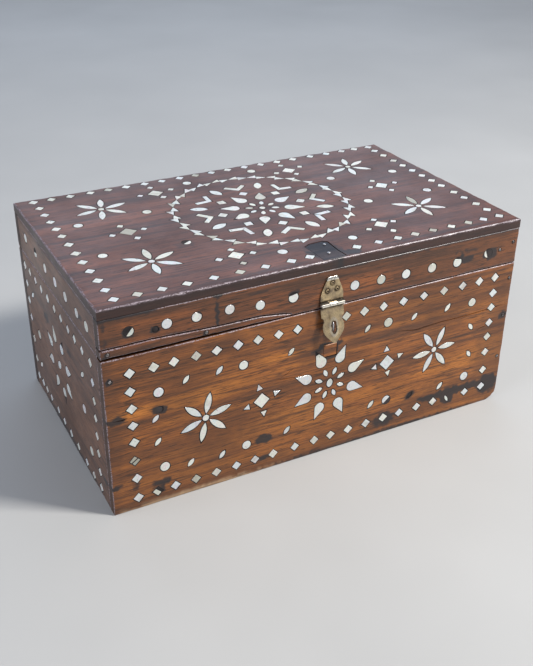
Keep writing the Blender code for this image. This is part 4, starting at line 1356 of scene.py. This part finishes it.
def back_boards():
    """The plain back boards, bevelled away from the hinge axis and let in for the hinges."""
    face = FACES["back"]
    pin = sum(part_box("hinge_left_pin"), Vector()) / 2
    _, axis_v, axis_w = in_face(face, pin)
    hinges = [node_rectangle(face, node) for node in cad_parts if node.endswith("_lid_leaf")]
    reach = node_rectangle(face, "case_back")[2] + PAST_END
    for node, body, down in (("case_back", "case", 1), ("lid_back", "lid", -1)):
        rng = random.Random(node)
        outline = rectangle(face, node)
        mesh = board_mesh(f"{node}_wood", face, outline, node_depth(face, node), [], [], rng, 0.7, 5.0)
        seam = axis_v - down * SEAM_GAP
        side = Face(to_world(face, -reach, 0, 0), face.v, face.out, -face.u)
        beyond = seam + down * OVERCUT
        foot = seam - down * BEVEL_DROP
        wedge = [(seam, axis_w), (foot, 0), (foot, OVERCUT), (beyond, OVERCUT), (beyond, axis_w)]
        tools = [prism(side, wedge[::down], -2 * reach, 0)]
        for low_u, _, high_u, _ in hinges:
            left, right = low_u - SEAT_GAP, high_u + SEAT_GAP
            for inner, depth in ((INWARD, HINGE_SEAT), (axis_w - GROOVE, GROOVE + SEAT_GAP)):
                low, high = sorted((seam - down * depth, seam + down * PAST_SEAM))
                block = [(left, low), (right, low), (right, high), (left, high)]
                tools.append(prism(face, block, inner, OVERCUT))
        mesh = carved(mesh, tools)
        stains = [(-150, 20, 40, 9, 0.5), (60, 110, 22, 5, 0.5), (120, 60, 12, 4, 0.5), (0, 2, 200, 3, 0.5)]
        marked(mesh, face, "stain", stains)
        shades = [(0, 6, 215, 20, 0.5), (206, 90, 14, 100, 0.5), (-206, 90, 14, 100, 0.5)]
        shades.append((0, 190, 215, 8, 0.4))
        marked(mesh, face, "shade", shades)
        new_piece(f"{node}_wood", mesh, "back_wood", body, [node])


def bottom_board():
    """The bare bottom board, seen from above when the lid is open."""
    low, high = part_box("case_bottom")
    face = Face(*map(Vector, ((0, 0, high.z), (1, 0, 0), (0, 1, 0), (0, 0, 1))))
    rng = random.Random("bottom")
    outline = rectangle(face, "case_bottom")
    mesh = board_mesh("case_bottom_wood", face, outline, (high.z - low.z) / MM, [], [], rng, 0.4, 6.0)
    marked(mesh, face, "stain", [(-60, 40, 30, 9, 0.5), (110, -60, 18, 12, 0.45), (20, -100, 60, 5, 0.4)])
    shades = [(0, 112, 200, 10, 0.7), (0, -112, 200, 10, 0.7), (195, 0, 10, 120, 0.7)]
    shades.append((-195, 0, 10, 120, 0.7))
    marked(mesh, face, "shade", shades)
    new_piece("case_bottom_wood", mesh, "inside_wood", "case", ["case_bottom"])


# ---------------------------------------------------------------- floor, light and camera

CAMERA_PLACE = Vector((-0.3845, -0.7431, 0.5353))
CAMERA_TURN = math.radians(27.63)
CAMERA_DOWN = math.radians(29.25)
CAMERA_ROLL = math.radians(0.45)
CAMERA_LENS = 50.06
CAMERA_SENSOR = 36


def floor():
    shape = bmesh.new()
    bmesh.ops.create_grid(shape, x_segments=1, y_segments=1, size=4)
    mesh = made(shape, "floor")
    mesh.materials.append(floor_paint())
    plane = placed("floor", mesh)


def area_light(name, place, size, power, colour):
    """A square soft light that looks at the middle of the box."""
    data = bpy.data.lights.new(name, "AREA")
    data.shape = "SQUARE"
    data.size = size
    data.energy = power
    data.color = colour
    lamp = placed(name, data)
    lamp.location = place
    lamp.rotation_euler = (Vector((0, 0, 0.1)) - Vector(place)).to_track_quat("-Z", "Y").to_euler()


def studio():
    world = bpy.data.worlds.new("studio")
    world.use_nodes = True
    background = world.node_tree.nodes["Background"]
    background.inputs["Color"].default_value = (0.82, 0.87, 1.0, 1)
    background.inputs["Strength"].default_value = 0.36
    bpy.context.scene.world = world
    area_light("key", (1.2, -1.15, 1.7), 0.40, 66, (1.0, 0.96, 0.91))
    area_light("sky", (0.7, 1.9, 1.5), 2.4, 14.5, (0.66, 0.80, 1.0))
    area_light("left", (-1.9, -0.1, 0.8), 1.6, 20, (0.90, 0.93, 1.0))
    bpy.context.scene.view_settings.view_transform = "Standard"


def camera():
    data = bpy.data.cameras.new("camera")
    data.lens = CAMERA_LENS
    data.sensor_width = CAMERA_SENSOR
    item = placed("camera", data)
    turn = Matrix.Rotation(-CAMERA_TURN, 4, "Z")
    tilt = Matrix.Rotation(math.radians(90) - CAMERA_DOWN, 4, "X")
    roll = Matrix.Rotation(CAMERA_ROLL, 4, "Z")
    item.matrix_world = Matrix.Translation(CAMERA_PLACE) @ turn @ tilt @ roll
    bpy.context.scene.camera = item


front_boards()
top_board()
side_boards()
back_boards()
bottom_board()
metalwork()
hasp()
floor()
studio()
camera()
